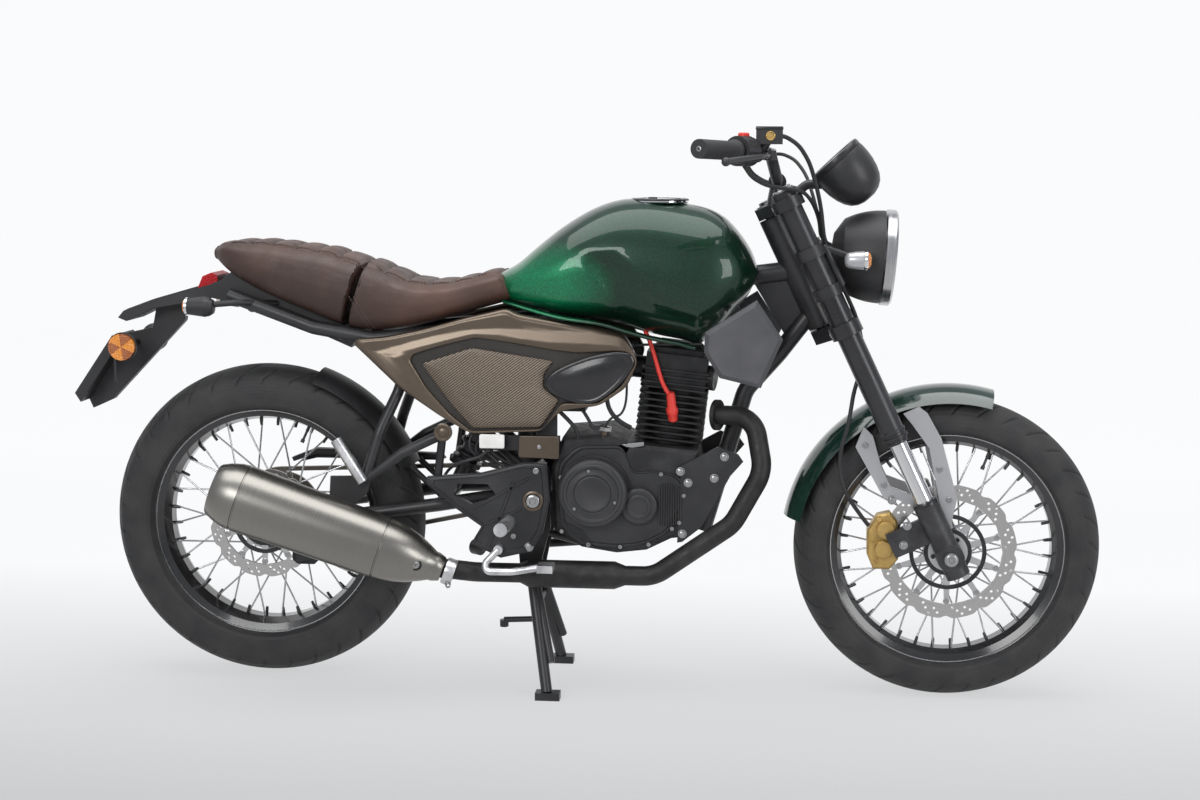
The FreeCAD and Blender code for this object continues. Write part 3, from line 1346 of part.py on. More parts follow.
def electrics():
    """Small boxes and their plate below the side cover."""
    y = -104
    pieces = [block(-188, -34, y, y + 5, 486, 516), block(-188, -139, y - 22, y, 492, 517),
              block(-111, -34, y - 18, y, 478, 517), block(-80, -40, -99, -94, 500, 600),
              block(-80, -40, -99, -74.3, 590, 600)]
    return feature("electrics", joined(pieces))


def centre_stand():
    """Two splayed legs on a pivot tube, with a foot loop each and a step tang."""
    pivot = Vector(z.stand_pivot_x, 0, z.stand_pivot_z)
    y = Vector(0, 1, 0)
    foot_z = 7
    pieces = [Part.makeCylinder(13, 116, pivot - y * 58, y)]
    for side in (-1, 1):
        top = pivot + y * (side * 38)
        foot = Vector(z.stand_foot_x, side * z.stand_foot_y, foot_z + 6)
        pieces.append(bar(top, foot, z.stand_tube_radius))
        pieces.append(block(foot.x - 22, foot.x + 26, foot.y - 14, foot.y + 14, 0, foot_z + 8))
        second = top + (foot - top) * 0.76 + Vector(16, 0, 0)
        pieces.append(bar(top + Vector(8, 0, -10), second, 8))
    upper = pivot + y * 38
    mid = upper + (Vector(z.stand_foot_x, z.stand_foot_y, foot_z + 6) - upper) * 0.3
    pieces.append(bar((mid.x, -mid.y, mid.z), (mid.x, mid.y, mid.z), 8))
    share = 0.6
    left = pivot + y * 38
    hold = left + (Vector(z.stand_foot_x, z.stand_foot_y, foot_z + 6) - left) * share
    pieces.append(bar(hold, (-172, 98, 96), 6))
    pieces.append(bar((-172, 98, 96), (-172, 98, 82), 9))
    shape = joined(pieces)
    shape = shape.cut(Part.makeCylinder(7.05, 200, pivot - y * 100, y))
    return feature("centre_stand", shape)


def stand_pin():
    y = Vector(0, 1, 0)
    start = Vector(z.stand_pivot_x, -76, z.stand_pivot_z)
    shape = Part.makeCylinder(7, 152, start, y)
    shape = shape.fuse(Part.makeCylinder(11, 8, start - y * 0, y))
    shape = shape.fuse(Part.makeCylinder(11, 8, start + y * 144, y))
    return shape.removeSplitter()


def side_stand():
    hinge = stand_hinge
    foot = Vector(hinge.x - 252, hinge.y + 28, hinge.z - 28)
    leg = bar(hinge, foot, 9)
    eye = Part.makeCylinder(16, 14, hinge - stand_lean * 7, stand_lean)
    shoe = bar(foot + Vector(6, -4, 0), foot + Vector(-10, 8, 0), 16)
    shape = joined([leg, eye, shoe])
    bore = Part.makeCylinder(6.05, 60, hinge - stand_lean * 30, stand_lean)
    return feature("side_stand", shape.cut(bore))


frame()
swingarm()
feature("frame_pins", Part.makeCompound([pivot_bolt(), stand_pin()]))
rear_shock()
engine_case()
covers()
barrel = finned("cylinder", "50", "fin_half", "fin_count")
barrel.Placement = Placement(Vector(z.barrel_x - 4, 0, 496), Rotation(Vector(0, 1, 0), z.barrel_tilt))
head = cylinder_head()
head.Placement = Placement(Vector(z.barrel_x + 7.7, 0, 607.9), Rotation(Vector(0, 1, 0), z.barrel_tilt))
intake()
muffler()
doc.recompute()
exhaust()
tank()
fuel_cap()
tail()
seats()
side_covers()
shrouds()
peg_brackets()
foot_controls()
feature("rear_guards", Part.makeCompound([hugger(), chain_guard()]))
chain()
sprocket()
rear_caliper()
electrics()
centre_stand()
side_stand()
axle("rear_axle", rear_axle, 124, carrier_end(z.rear_disc_y), 83.5, z.sprocket_y + 3, 109.5, 1)

doc.recompute()
for item in doc.Objects:
    if "Invalid" in item.State or "Error" in item.State:
        raise RuntimeError("%s did not build: %s" % (item.Label, item.State))
for name, piece in finals.items():
    if piece.Shape.isNull() or not piece.Shape.isValid():
        raise RuntimeError("%s has no sound shape" % name)

os.makedirs("parts", exist_ok=True)
for name, piece in finals.items():
    piece.Shape.exportStep("parts/%s.step" % name)
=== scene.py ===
import math

import bmesh
import bpy
from mathutils import Matrix, Vector


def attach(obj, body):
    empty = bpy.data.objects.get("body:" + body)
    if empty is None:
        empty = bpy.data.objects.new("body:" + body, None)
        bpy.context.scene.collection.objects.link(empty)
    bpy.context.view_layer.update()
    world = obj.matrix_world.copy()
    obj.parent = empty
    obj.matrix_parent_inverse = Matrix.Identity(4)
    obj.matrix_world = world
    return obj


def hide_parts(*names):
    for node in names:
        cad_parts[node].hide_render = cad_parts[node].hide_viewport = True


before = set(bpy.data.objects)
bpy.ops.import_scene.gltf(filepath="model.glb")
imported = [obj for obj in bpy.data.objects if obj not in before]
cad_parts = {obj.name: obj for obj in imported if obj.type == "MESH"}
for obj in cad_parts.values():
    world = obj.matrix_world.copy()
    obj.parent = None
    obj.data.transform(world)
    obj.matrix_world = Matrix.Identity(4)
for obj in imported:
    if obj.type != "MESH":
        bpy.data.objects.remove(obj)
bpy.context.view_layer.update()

# Looks of a retro roadster motorcycle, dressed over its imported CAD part.
# X forward, Y to the rider's left, Z up, the origin on the floor; the scene is in metres.
# Profiles, outlines, routes, bolts and what at() takes are written in millimetres.


def at(x, y, z):
    """A place or an offset given in millimetres."""
    return Vector((x / 1000, y / 1000, z / 1000))


def metres(points):
    return [tuple(value / 1000 for value in point) for point in points]


def swung(turn, reach, y=0.0):
    """Offset at an angle round a crosswise axis, in metres."""
    return Vector((reach * math.cos(turn), y, reach * math.sin(turn)))


# Places that many pieces share
SIDES = ((-1, "right"), (1, "left"))
RIGHT = Vector((0, -1, 0))
LEFT = Vector((0, 1, 0))
UP = Vector((0, 0, 1))
FRONT_AXLE = at(715.5, 0, 296)
REAR_AXLE = at(-631.5, 0, 323)
RAKE = math.radians(25.6)
FORK_UP = Vector((-math.sin(RAKE), 0, math.cos(RAKE)))
FORK_AHEAD = Vector((math.cos(RAKE), 0, math.sin(RAKE)))
FORK_HALF = 95


def fork_point(ahead, y, up):
    """A point from the front axle, in millimetres along the fork's own directions."""
    return FRONT_AXLE + FORK_AHEAD * (ahead / 1000) + FORK_UP * (up / 1000) + at(0, y, 0)


# Materials

class Finish:
    """A procedural material: one Principled shader and the textures that feed it."""

    def __init__(self, name, colour, roughness, metallic=0.0, **sockets):
        self.material = bpy.data.materials.new(name)
        self.material.use_nodes = True
        self.nodes = self.material.node_tree.nodes
        self.shader = self.nodes["Principled BSDF"]
        self.normal = None
        self.feed(self.shader, {"Base Color": (*colour, 1), "Roughness": roughness, "Metallic": metallic})
        self.feed(self.shader, {socket.replace("_", " "): value for socket, value in sockets.items()})

    def feed(self, node, inputs):
        """Give a node's inputs their numbers, or link them to other nodes' sockets."""
        for name, value in inputs.items():
            if isinstance(value, bpy.types.NodeSocket):
                self.material.node_tree.links.new(value, node.inputs[name])
            else:
                node.inputs[name].default_value = value

    def add(self, kind, inputs=None, **settings):
        node = self.nodes.new("ShaderNode" + kind)
        for name, value in settings.items():
            setattr(node, name, value)
        self.feed(node, inputs or {})
        return node

    def place(self):
        """Where the surface lies in the rest frame."""
        return self.add("TexCoord").outputs["Object"]

    def axes(self):
        """The same place as separate X, Y and Z."""
        return self.add("SeparateXYZ", {0: self.place()}).outputs

    def stretched(self, scale):
        return self.add("Mapping", {"Vector": self.place(), "Scale": scale}).outputs["Vector"]

    def noise(self, scale, detail=4.0, stretch=(1, 1, 1)):
        return self.add("TexNoise", {"Scale": scale, "Detail": detail, "Roughness": 0.55,
                                     "Vector": self.stretched(stretch)}).outputs["Fac"]

    def lines(self, value, scale, detail=2.0):
        """Noise along one number, for brush lines and rings."""
        return self.add("TexNoise", {"W": value, "Scale": scale, "Detail": detail},
                        noise_dimensions="1D").outputs["Fac"]

    def cells(self, scale, feature="F1", output="Distance"):
        return self.add("TexVoronoi", {"Scale": scale, "Vector": self.stretched((1, 1, 1))},
                        feature=feature).outputs[output]

    def calc(self, operation, a, b=0.0):
        """Math node on two sockets or numbers."""
        return self.add("Math", {0: a, 1: b}, operation=operation).outputs[0]

    def ranged(self, value, low, high, to_low, to_high):
        return self.add("MapRange", {"Value": value, "From Min": low, "From Max": high,
                                     "To Min": to_low, "To Max": to_high}).outputs["Result"]

    def paint(self, value, low, high, dark, light):
        """Colour the surface between two tones by a texture."""
        ramp = self.add("ValToRGB", {"Fac": value})
        for element, position, tone in zip(ramp.color_ramp.elements, (low, high), (dark, light)):
            element.position = position
            element.color = (*tone, 1)
        self.feed(self.shader, {"Base Color": ramp.outputs["Color"]})
        return self

    def gloss(self, value, low, high, smooth, rough):
        """Let a texture swing the roughness between two values."""
        self.feed(self.shader, {"Roughness": self.ranged(value, low, high, smooth, rough)})
        return self

    def turn_normal(self, node):
        self.normal = node.outputs["Normal"]
        self.feed(self.shader, {"Normal": self.normal})
        return self

    def bump(self, height, distance, strength=1.0):
        earlier = {} if self.normal is None else {"Normal": self.normal}
        return self.turn_normal(self.add("Bump", {"Height": height, "Distance": distance,
                                                  "Strength": strength, **earlier}))

    def soft_edges(self, radius):
        """Catch light along the edges of flat-faced parts."""
        return self.turn_normal(self.add("Bevel", {"Radius": radius}, samples=4))


def toned(colour, factor, lift=0.0):
    return tuple(min(1, c * factor + lift) for c in colour)


def painted(name, colour, roughness, grain=0.00006, edge=0.0008, coat=0.0):
    """Paint or powder coat with orange peel and slight soiling."""
    made = Finish(name, colour, roughness, Coat_Weight=coat, Coat_Roughness=0.08).soft_edges(edge)
    dirt = made.noise(9, 5)
    made.paint(dirt, 0.35, 0.75, colour, toned(colour, 1.6, 0.012))
    made.gloss(dirt, 0.3, 0.7, roughness * 0.85, roughness * 1.3)
    return made.bump(made.noise(700, 2), grain)


def cast(name, colour, roughness, metallic, grain=0.00025):
    """Sand-cast metal: coarse grain, worn brighter in patches."""
    made = Finish(name, colour, roughness, metallic).soft_edges(0.0012)
    made.paint(made.noise(24, 6), 0.4, 0.8, colour, toned(colour, 1.9, 0.01))
    made.gloss(made.noise(60, 3), 0.3, 0.7, roughness * 0.8, roughness * 1.25)
    return made.bump(made.noise(420, 4), grain)


def brushed(name, colour, roughness, fine, stretch=(1, 1, 1)):
    """Metal with fine parallel brush lines."""
    made = Finish(name, colour, roughness, 1.0)
    lines = made.noise(fine, 3, stretch)
    made.paint(lines, 0.25, 0.75, toned(colour, 0.72), colour)
    made.gloss(lines, 0.3, 0.7, roughness * 0.8, roughness * 1.35)
    return made.bump(lines, 0.00003)


def brushed_round(name, colour, roughness, axis, stain=0.25):
    """Metal brushed round an axis: the lines run round it, faint stains along it."""
    made = Finish(name, colour, roughness, 1.0)
    along = made.add("VectorMath", {0: made.place(), 1: axis}, operation="DOT_PRODUCT")
    lines = made.lines(along.outputs["Value"], 1500, 3)
    both = made.calc("ADD", made.calc("MULTIPLY", lines, 1 - stain),
                     made.calc("MULTIPLY", made.noise(7, 4), stain))
    made.paint(both, 0.3, 0.7, toned(colour, 0.72), colour)
    made.gloss(both, 0.3, 0.7, roughness * 0.85, roughness * 1.25)
    return made.bump(lines, 0.00002)


def polished(name, colour, roughness):
    """Plated or polished metal with faint smears."""
    made = Finish(name, colour, roughness, 1.0)
    made.gloss(made.noise(30, 4), 0.35, 0.7, roughness * 0.7, roughness * 1.8)
    return made.bump(made.noise(80, 2), 0.00002)


def moulded(name, colour, roughness, grain=0.00012, scale=900):
    """Moulded plastic with a fine spark-eroded grain."""
    made = Finish(name, colour, roughness).soft_edges(0.0008)
    made.paint(made.noise(14, 4), 0.35, 0.75, colour, toned(colour, 1.35, 0.006))
    return made.bump(made.cells(scale), grain)


def round_axle(finish, centre):
    """Distance from a wheel's axle line, for rings on discs and tyres."""
    axes = finish.axes()
    x = finish.calc("SUBTRACT", axes["X"], centre.x)
    height = finish.calc("SUBTRACT", axes["Z"], centre.z)
    return finish.calc("SQRT", finish.calc("ADD", finish.calc("MULTIPLY", x, x),
                                           finish.calc("MULTIPLY", height, height)))


def rubber_tyre(name, centre):
    """Tyre rubber: dusty tread, and rings pressed into the side walls."""
    made = Finish(name, (0.03, 0.03, 0.031), 0.62, Specular_IOR_Level=0.35)
    dust = made.noise(16, 6)
    made.paint(dust, 0.35, 0.8, (0.022, 0.022, 0.023), (0.05, 0.049, 0.047))
    made.gloss(dust, 0.3, 0.7, 0.52, 0.75)
    rings = made.calc("SINE", made.calc("MULTIPLY", round_axle(made, centre), 900))
    made.bump(made.ranged(rings, 0.82, 1.0, 0, 1), 0.0003)
    return made.bump(made.noise(900, 2), 0.00015)


def ground_disc(name, centre):
    """Ground steel with rings from the pads."""
    made = Finish(name, (0.62, 0.61, 0.6), 0.26, 1.0)
    rings = made.lines(round_axle(made, centre), 1400)
    made.paint(rings, 0.3, 0.7, (0.42, 0.41, 0.4), (0.68, 0.67, 0.66))
    return made.bump(rings, 0.00004)


def flake_paint_with_painted_highlight():
    """Deep green lacquer with bright flakes under a clear coat; the flakes are painted brightest low at the back, a
    painted highlight.
    """
    made = Finish("tank_green_flake_painted_highlight", (0.0, 0.05, 0.022), 0.36, 0.55,
                  Coat_Weight=0.75, Coat_Roughness=0.02, Coat_IOR=1.45)
    flakes = made.cells(1900, output="Color")
    pick = made.add("SeparateColor", {0: flakes}).outputs
    # Flakes are painted brightest round one spot low at the back of the tank and dimmer elsewhere: a painted highlight.
    squeezed = made.add("VectorMath", {0: made.place(), 1: (1, 0, 1.5)}, operation="MULTIPLY")
    from_painted_highlight = made.add("VectorMath", {0: squeezed.outputs["Vector"], 1: (-0.07, 0, 1.2)}, operation="DISTANCE")
    painted_highlight = made.ranged(from_painted_highlight.outputs["Value"], 0.05, 0.145, 1, 0)
    spark = made.calc("MULTIPLY", made.ranged(pick[0], 0.3, 1.0, 0.25, 1.0), made.ranged(painted_highlight, 0, 1, 0.2, 1.0))
    made.paint(spark, 0.05, 0.95, (0.001, 0.007, 0.005), (0.002, 0.36, 0.14))
    made.gloss(pick[1], 0, 1, 0.28, 0.46)
    return made.bump(flakes, 0.00002, 0.4)


def leather():
    """Brown leather: pebbled grain and creases, darker in some places and worn lighter in others."""
    made = Finish("seat_leather", (0.095, 0.046, 0.03), 0.42, Specular_IOR_Level=0.55)
    made.paint(made.noise(7, 5), 0.35, 0.72, (0.04, 0.02, 0.0145), (0.088, 0.041, 0.027))
    made.gloss(made.noise(35, 4), 0.3, 0.7, 0.4, 0.62)
    made.bump(made.noise(45, 4), 0.0006)
    return made.bump(made.cells(620, feature="SMOOTH_F1"), 0.00035)


def woven(name, dark, light):
    """Fine twill weave pressed into a satin panel: slanting threads of two tones."""
    made = Finish(name, light, 0.36, 0.55, Coat_Weight=0.25, Coat_Roughness=0.2)
    axes = made.axes()

    def waves(along_z, along_x, operation):
        slant = made.calc(operation, made.calc("MULTIPLY", axes["Z"], along_z),
                          made.calc("MULTIPLY", axes["X"], along_x))
        return made.calc("SINE", made.calc("MULTIPLY", slant, 1500))

    cloth = made.calc("ADD", waves(0.8, 0.6, "SUBTRACT"), made.calc("MULTIPLY", waves(0.45, 0.9, "ADD"), 0.12))
    made.paint(made.ranged(cloth, -1.3, 1.3, 0, 1), 0.25, 0.75, dark, light)
    return made.bump(cloth, 0.00025)


def fluted_lens(name, colour, scale, roughness=0.12, coat=1.0, specular=0.5):
    """Tinted lens with pressed cells behind a smooth face."""
    made = Finish(name, colour, roughness, Coat_Weight=coat, Coat_Roughness=0.04, Subsurface_Weight=0.2,
                  Subsurface_Scale=0.01, Specular_IOR_Level=specular)
    return made.bump(made.cells(scale), 0.0008)


def facet_lens(name, dark, light, centre):
    """Reflector moulded in six sectors round its middle, over fine cube corners; the sectors are painted darker and
    lighter in turn, a painted reflection.
    """
    made = Finish(name, light, 0.1, Coat_Weight=1.0, Coat_Roughness=0.03)
    axes = made.axes()
    angle = made.calc("ARCTAN2", made.calc("SUBTRACT", axes["Z"], centre.z),
                      made.calc("SUBTRACT", axes["X"], centre.x))
    # The sectors are painted alternately darker and lighter amber: a painted reflection of the moulded facets.
    sectors = made.calc("SINE", made.calc("MULTIPLY", made.calc("ADD", angle, 0.4), 3.0))
    made.paint(made.ranged(sectors, -0.3, 0.3, 0, 1), 0.3, 0.7, dark, light)
    return made.bump(made.cells(420), 0.0008)


MUFFLER_FRONT = at(-256, -156, 260)
MUFFLER_LINE = at(-415, -32, 147).normalized()
REFLECTOR = at(-898, 98, 676)

satin_black = painted("frame_satin_black", (0.012, 0.012, 0.013), 0.36)
engine_paint = painted("engine_satin_black", (0.016, 0.016, 0.017), 0.42, 0.0001, 0.0012)
rough_cast = cast("cast_black", (0.02, 0.02, 0.021), 0.55, 0.35)
fin_black = cast("fin_black", (0.014, 0.014, 0.015), 0.5, 0.3)
rim_black = painted("rim_gloss_black", (0.008, 0.008, 0.009), 0.2, 0.00002, coat=0.6)
anodised = painted("anodised_black", (0.012, 0.012, 0.014), 0.28, 0.00003)
grey_cast = cast("carrier_grey", (0.045, 0.045, 0.047), 0.45, 0.6)
tube_chrome = polished("fork_chrome", (0.78, 0.78, 0.79), 0.12)
bright_chrome = polished("bright_chrome", (0.82, 0.82, 0.83), 0.06)
bare_alloy = cast("bare_alloy", (0.52, 0.52, 0.53), 0.34, 0.95, 0.00006)
silver_paint = Finish("silver_paint", (0.45, 0.45, 0.46), 0.34, 0.6, Coat_Weight=0.3).soft_edges(0.001)
silver_paint.bump(silver_paint.noise(800, 2), 0.00004)
ring_alloy = brushed("ring_brushed_alloy", (0.6, 0.6, 0.61), 0.22, 260, (1, 0.05, 0.05))
fastener = brushed("zinc_fastener", (0.5, 0.5, 0.5), 0.3, 900)
dark_fastener = painted("black_fastener", (0.02, 0.02, 0.02), 0.35)
stainless = brushed_round("silencer_brushed", (0.31, 0.298, 0.272), 0.3, MUFFLER_LINE)
pipe_black = cast("pipe_heat_black", (0.014, 0.0135, 0.013), 0.5, 0.3, 0.00012)
chain_steel = brushed("oiled_steel", (0.22, 0.2, 0.17), 0.38, 500)
spoke_steel = polished("spoke_steel", (0.6, 0.6, 0.61), 0.22)
gold = cast("caliper_gold", (0.42, 0.28, 0.095), 0.36, 0.75, 0.00008)
green = flake_paint_with_painted_highlight()
dark_green = painted("fender_deep_green", (0.003, 0.02, 0.013), 0.14, 0.00001, 0.0015, 1.0)
bronze = Finish("satin_bronze", (0.13, 0.1, 0.074), 0.3, 0.8, Coat_Weight=0.2, Coat_Roughness=0.25)
bronze.soft_edges(0.002)
bronze.paint(bronze.noise(5, 4), 0.3, 0.75, (0.11, 0.085, 0.063), (0.15, 0.117, 0.087))
bronze.bump(bronze.noise(1200, 2), 0.00006)
weave = woven("woven_bronze", (0.06, 0.046, 0.034), (0.2, 0.157, 0.117))
# Near-black sheet for the floors of recesses and wells: painted shade.
painted_shade_black = moulded("painted_shade_black", (0.02, 0.017, 0.014), 0.5)
gloss_black = painted("gloss_black", (0.006, 0.006, 0.007), 0.2, 0.00001, 0.0015, 0.35)
matt_grey = moulded("shroud_grey", (0.06, 0.06, 0.064), 0.5)
black_plastic = moulded("grained_black", (0.014, 0.014, 0.015), 0.48)
meter_black = moulded("meter_black", (0.018, 0.018, 0.019), 0.4, 0.00004)
soft_rubber = moulded("soft_rubber", (0.016, 0.016, 0.017), 0.62, 0.0001, 500)
white_plastic = moulded("white_plastic", (0.62, 0.61, 0.58), 0.45)
red_silicone = moulded("red_silicone", (0.55, 0.03, 0.02), 0.38, 0.00004)
hide = leather()
thread = moulded("brown_thread", (0.12, 0.075, 0.055), 0.6, 0.0001, 2500)
glass = Finish("clear_glass", (0.95, 0.97, 1.0), 0.02, Transmission_Weight=1.0, IOR=1.45)
glass.bump(glass.noise(40, 2), 0.00002)
red_lens = fluted_lens("red_lens", (0.42, 0.004, 0.008), 300, 0.4, 0.1, 0.25)
amber_lens = facet_lens("amber_lens", (0.3, 0.075, 0.004), (0.66, 0.22, 0.01), REFLECTOR)
amber_plain = fluted_lens("amber_plain", (0.6, 0.19, 0.01), 500)
front_rubber = rubber_tyre("front_tyre_rubber", FRONT_AXLE)
rear_rubber = rubber_tyre("rear_tyre_rubber", REAR_AXLE)
front_steel = ground_disc("front_disc_steel", FRONT_AXLE)
rear_steel = ground_disc("rear_disc_steel", REAR_AXLE)

# The CAD nodes that each finish covers
FINISHES = {
    satin_black: "frame swingarm rear_shock peg_brackets handlebar lamp_brackets centre_stand side_stand",
    rough_cast: "engine_case rear_caliper", engine_paint: "engine_covers", fin_black: "cylinder cylinder_head",
    soft_rubber: "intake handlebar_grips control_cables", pipe_black: "exhaust_pipe", stainless: "muffler",
    green: "fuel_tank", dark_green: "front_fender", bright_chrome: "fuel_cap", hide: "rider_seat pillion_seat",
    bronze: "side_covers", weave: "side_panels", gloss_black: "oval_covers", matt_grey: "shrouds",
    black_plastic: "tail_fender plate_bracket rear_lamps rear_guards electrics hand_controls headlight_bucket",
    meter_black: "instrument", red_lens: "tail_light", amber_lens: "side_reflectors", glass: "headlight_lens",
    bare_alloy: "foot_controls", chain_steel: "chain sprocket", fastener: "frame_pins rear_axle front_axle",
    anodised: "triple_clamps fork_tubes hand_levers", tube_chrome: "fork_stanchions", grey_cast: "fork_lowers",
    ring_alloy: "headlight_ring", silver_paint: "fender_braces", gold: "front_caliper",
    rim_black: "front_rim rear_rim", spoke_steel: "front_hub rear_hub", front_rubber: "front_tyre",
    rear_rubber: "rear_tyre", front_steel: "front_disc", rear_steel: "rear_disc",
}
for finish, names in FINISHES.items():
    for name in names.split():
        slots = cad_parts[name].data.materials
        slots.clear()
        slots.append(finish.material)


# Building new pieces

def piece(name, shape, finish, body):
    """Link a mesh or curve as an object that rides on a CAD body."""
    made = bpy.data.objects.new(name, shape)
    bpy.context.scene.collection.objects.link(made)
    shape.materials.append(finish.material)
    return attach(made, body)


def replaced(made, node):
    """Let a piece stand for a CAD node, whose own mesh is hidden."""
    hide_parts(node)
    return made


def to_mesh(name, made):
    bmesh.ops.recalc_face_normals(made, faces=made.faces)
    mesh = bpy.data.meshes.new(name)
    made.to_mesh(mesh)
    made.free()
    return mesh


def finish_mesh(name, made, finish, body="chassis", angle=40):
    """Piece made from a bmesh, smooth but for edges sharper than an angle in degrees."""
    mesh = to_mesh(name, made)
    obj = piece(name, mesh, finish, body)
    mesh.set_sharp_from_angle(angle=math.radians(angle))
    mesh.polygons.foreach_set("use_smooth", [True] * len(mesh.polygons))
    return obj


def lofted(made, rings, closed=False, first_cap=False, last_cap=False):
    """Join rings of equal count in a bmesh: on to the first again, or with filled ends."""
    corners = [[made.verts.new(p) for p in ring] for ring in rings]
    for a, b in zip(corners, corners[1:] + corners[:closed]):
        for k in range(len(a)):
            after = (k + 1) % len(a)
            made.faces.new((a[k], b[k], b[after], a[after]))
    if first_cap:
        made.faces.new(corners[0])
    if last_cap:
        made.faces.new(corners[-1][::-1])


def smooth_skin(name, rings, finish, body, closed=False):
    """Piece of joined rings without any sharp edge."""
    made = bmesh.new()
    lofted(made, rings, closed)
    mesh = to_mesh(name, made)
    mesh.shade_smooth()
    return piece(name, mesh, finish, body)


def facing(direction):
    """Turn that takes +Z to a direction."""
    return Vector(direction).to_track_quat("Z", "Y").to_matrix().to_4x4()


def add_turned(made, profile, centre, direction, segments=24):
    """Add a turned form to a bmesh: profile points are radius and height along a direction."""
    place = Matrix.Translation(centre) @ facing(direction)
    rings = []
    for radius, height in metres(profile):
        angles = [2 * math.pi * k / segments for k in range(segments)] if radius > 1e-6 else [0]
        rings.append([made.verts.new(place @ Vector((radius * math.cos(a), radius * math.sin(a), height)))
                      for a in angles])
    for low, high in zip(rings, rings[1:]):
        if len(low) == 1 and len(high) == 1:
            continue
        for k in range(segments):
            after = (k + 1) % segments
            if len(low) == 1:
                made.faces.new((low[0], high[k], high[after]))
            elif len(high) == 1:
                made.faces.new((low[k], high[0], low[after]))
            else:
                made.faces.new((low[k], low[after], high[after], high[k]))


def turned(name, profile, centre, direction, finish, segments=48, body="chassis"):
    made = bmesh.new()
    add_turned(made, profile, centre, direction, segments)
    return finish_mesh(name, made, finish, body)


def add_bolt(made, centre, direction, radius, height, head="socket"):
    """One bolt head: a hexagon on its washer, or a socket screw with its hex recess."""
    if head == "hex":
        round_part = [(0, 0), (radius * 1.35, 0), (radius * 1.35, height * 0.25), (radius * 1.05, height * 0.3)]
        hex_part = [(radius, height * 0.25), (radius, height * 0.9), (radius * 0.82, height), (0, height)]
    else:
        round_part = [(0, 0), (radius, 0), (radius, height * 0.8), (radius * 0.88, height), (radius * 0.52, height)]
        hex_part = [(radius * 0.52, height), (radius * 0.5, height * 0.45), (0, height * 0.45)]
    add_turned(made, round_part, centre, direction, 20)
    add_turned(made, hex_part, centre, direction, 6)


def bolts(name, places, finish, body="chassis"):
    """Many bolt heads as one piece: each place is centre, direction, radius, height and maybe the head."""
    made = bmesh.new()
    for place in places:
        add_bolt(made, *place)
    return finish_mesh(name, made, finish, body)


def flank_bolts(places, y, radius, height, head="socket"):
    """Bolts at X and Z places that face outward on the flank at y."""
    return [(at(x, y, z), LEFT if y > 0 else RIGHT, radius, height, head) for x, z in places]


def hose(name, points, radius, finish, body="chassis"):
    """Smooth round hose or lead through a few given points."""
    curve = bpy.data.curves.new(name, "CURVE")
    curve.dimensions = "3D"
    spline = curve.splines.new("NURBS")
    spline.points.add(len(points) - 1)
    for point, spot in zip(spline.points, metres(points)):
        point.co = (*spot, 1)
    spline.order_u = 3
    spline.use_endpoint_u = True
    curve.resolution_u = 8
    curve.bevel_depth = radius / 1000
    curve.bevel_resolution = 3
    curve.use_fill_caps = True
    return piece(name, curve, finish, body)


def level_ring(outline, y, side=1):
    return [at(x, side * y, height) for x, height in outline]


def plate(name, outline, y_low, y_high, finish, round_edge, segments=2):
    """Plate cut to an outline in X and Z, with rounded edges."""
    made = bmesh.new()
    lofted(made, [level_ring(outline, y_low), level_ring(outline, y_high)], first_cap=True, last_cap=True)
    mesh = to_mesh(name, made)
    mesh.shade_smooth()
    bevel = piece(name, mesh, finish, "chassis").modifiers.new("rounded", "BEVEL")
    bevel.width = round_edge / 1000
    bevel.segments = segments
    bevel.limit_method = "ANGLE"
    bevel.angle_limit = math.radians(50)
    bevel.harden_normals = True


def slab(made, centre, size, turn=Matrix.Identity(3)):
    """Box of a size round a centre in a bmesh, turned in place."""
    corners = [made.verts.new(centre + turn @ Vector((x * size.x / 2, y * size.y / 2, z * size.z / 2)))
               for x in (-1, 1) for y in (-1, 1) for z in (-1, 1)]
    for ring in ((0, 1, 3, 2), (4, 6, 7, 5), (0, 4, 5, 1), (2, 3, 7, 6), (0, 2, 6, 4), (1, 5, 7, 3)):
        made.faces.new([corners[k] for k in ring])


def rounded(corners, radius, steps=5):
    """Outline with its corners rounded off."""
    made = []
    for k, corner in enumerate(corners):
        here = Vector(corner)
        before = Vector(corners[k - 1]) - here
        after = Vector(corners[(k + 1) % len(corners)]) - here
        reach = min(radius, 0.45 * before.length, 0.45 * after.length)
        a = here + before.normalized() * reach
        b = here + after.normalized() * reach
        for step in range(steps + 1):
            share = step / steps
            made.append(tuple(a * (1 - share) ** 2 + here * 2 * share * (1 - share) + b * share ** 2))
    return made


def between(a, b, share):
    return [(p[0] + (q[0] - p[0]) * share, p[1] + (q[1] - p[1]) * share) for p, q in zip(a, b)]


def toward_middle(outline, share):
    x, height = (sum(values) / len(outline) for values in zip(*outline))
    return [(x + (p[0] - x) * share, height + (p[1] - height) * share) for p in outline]


def smooth_step(low, high, value):
    share = min(1, max(0, (value - low) / (high - low)))
    return share * share * (3 - 2 * share)


def through(stations, x):
    """Smooth curve through stations (x, value), read at x."""
    if x <= stations[0][0]:
        return stations[0][1]
    if x >= stations[-1][0]:
        return stations[-1][1]
    last = len(stations) - 1
    i = max(k for k in range(last) if stations[k][0] <= x)

    def slope(k):
        a = stations[max(0, k - 1)]
        b = stations[min(last, k + 1)]
        return (b[1] - a[1]) / (b[0] - a[0])

    (x0, v0), (x1, v1) = stations[i], stations[i + 1]
    run = x1 - x0
    share = (x - x0) / run
    return (v0 * (1 + 2 * share) * (1 - share) ** 2 + slope(i) * run * share * (1 - share) ** 2
            + v1 * share ** 2 * (3 - 2 * share) + slope(i + 1) * run * share ** 2 * (share - 1))


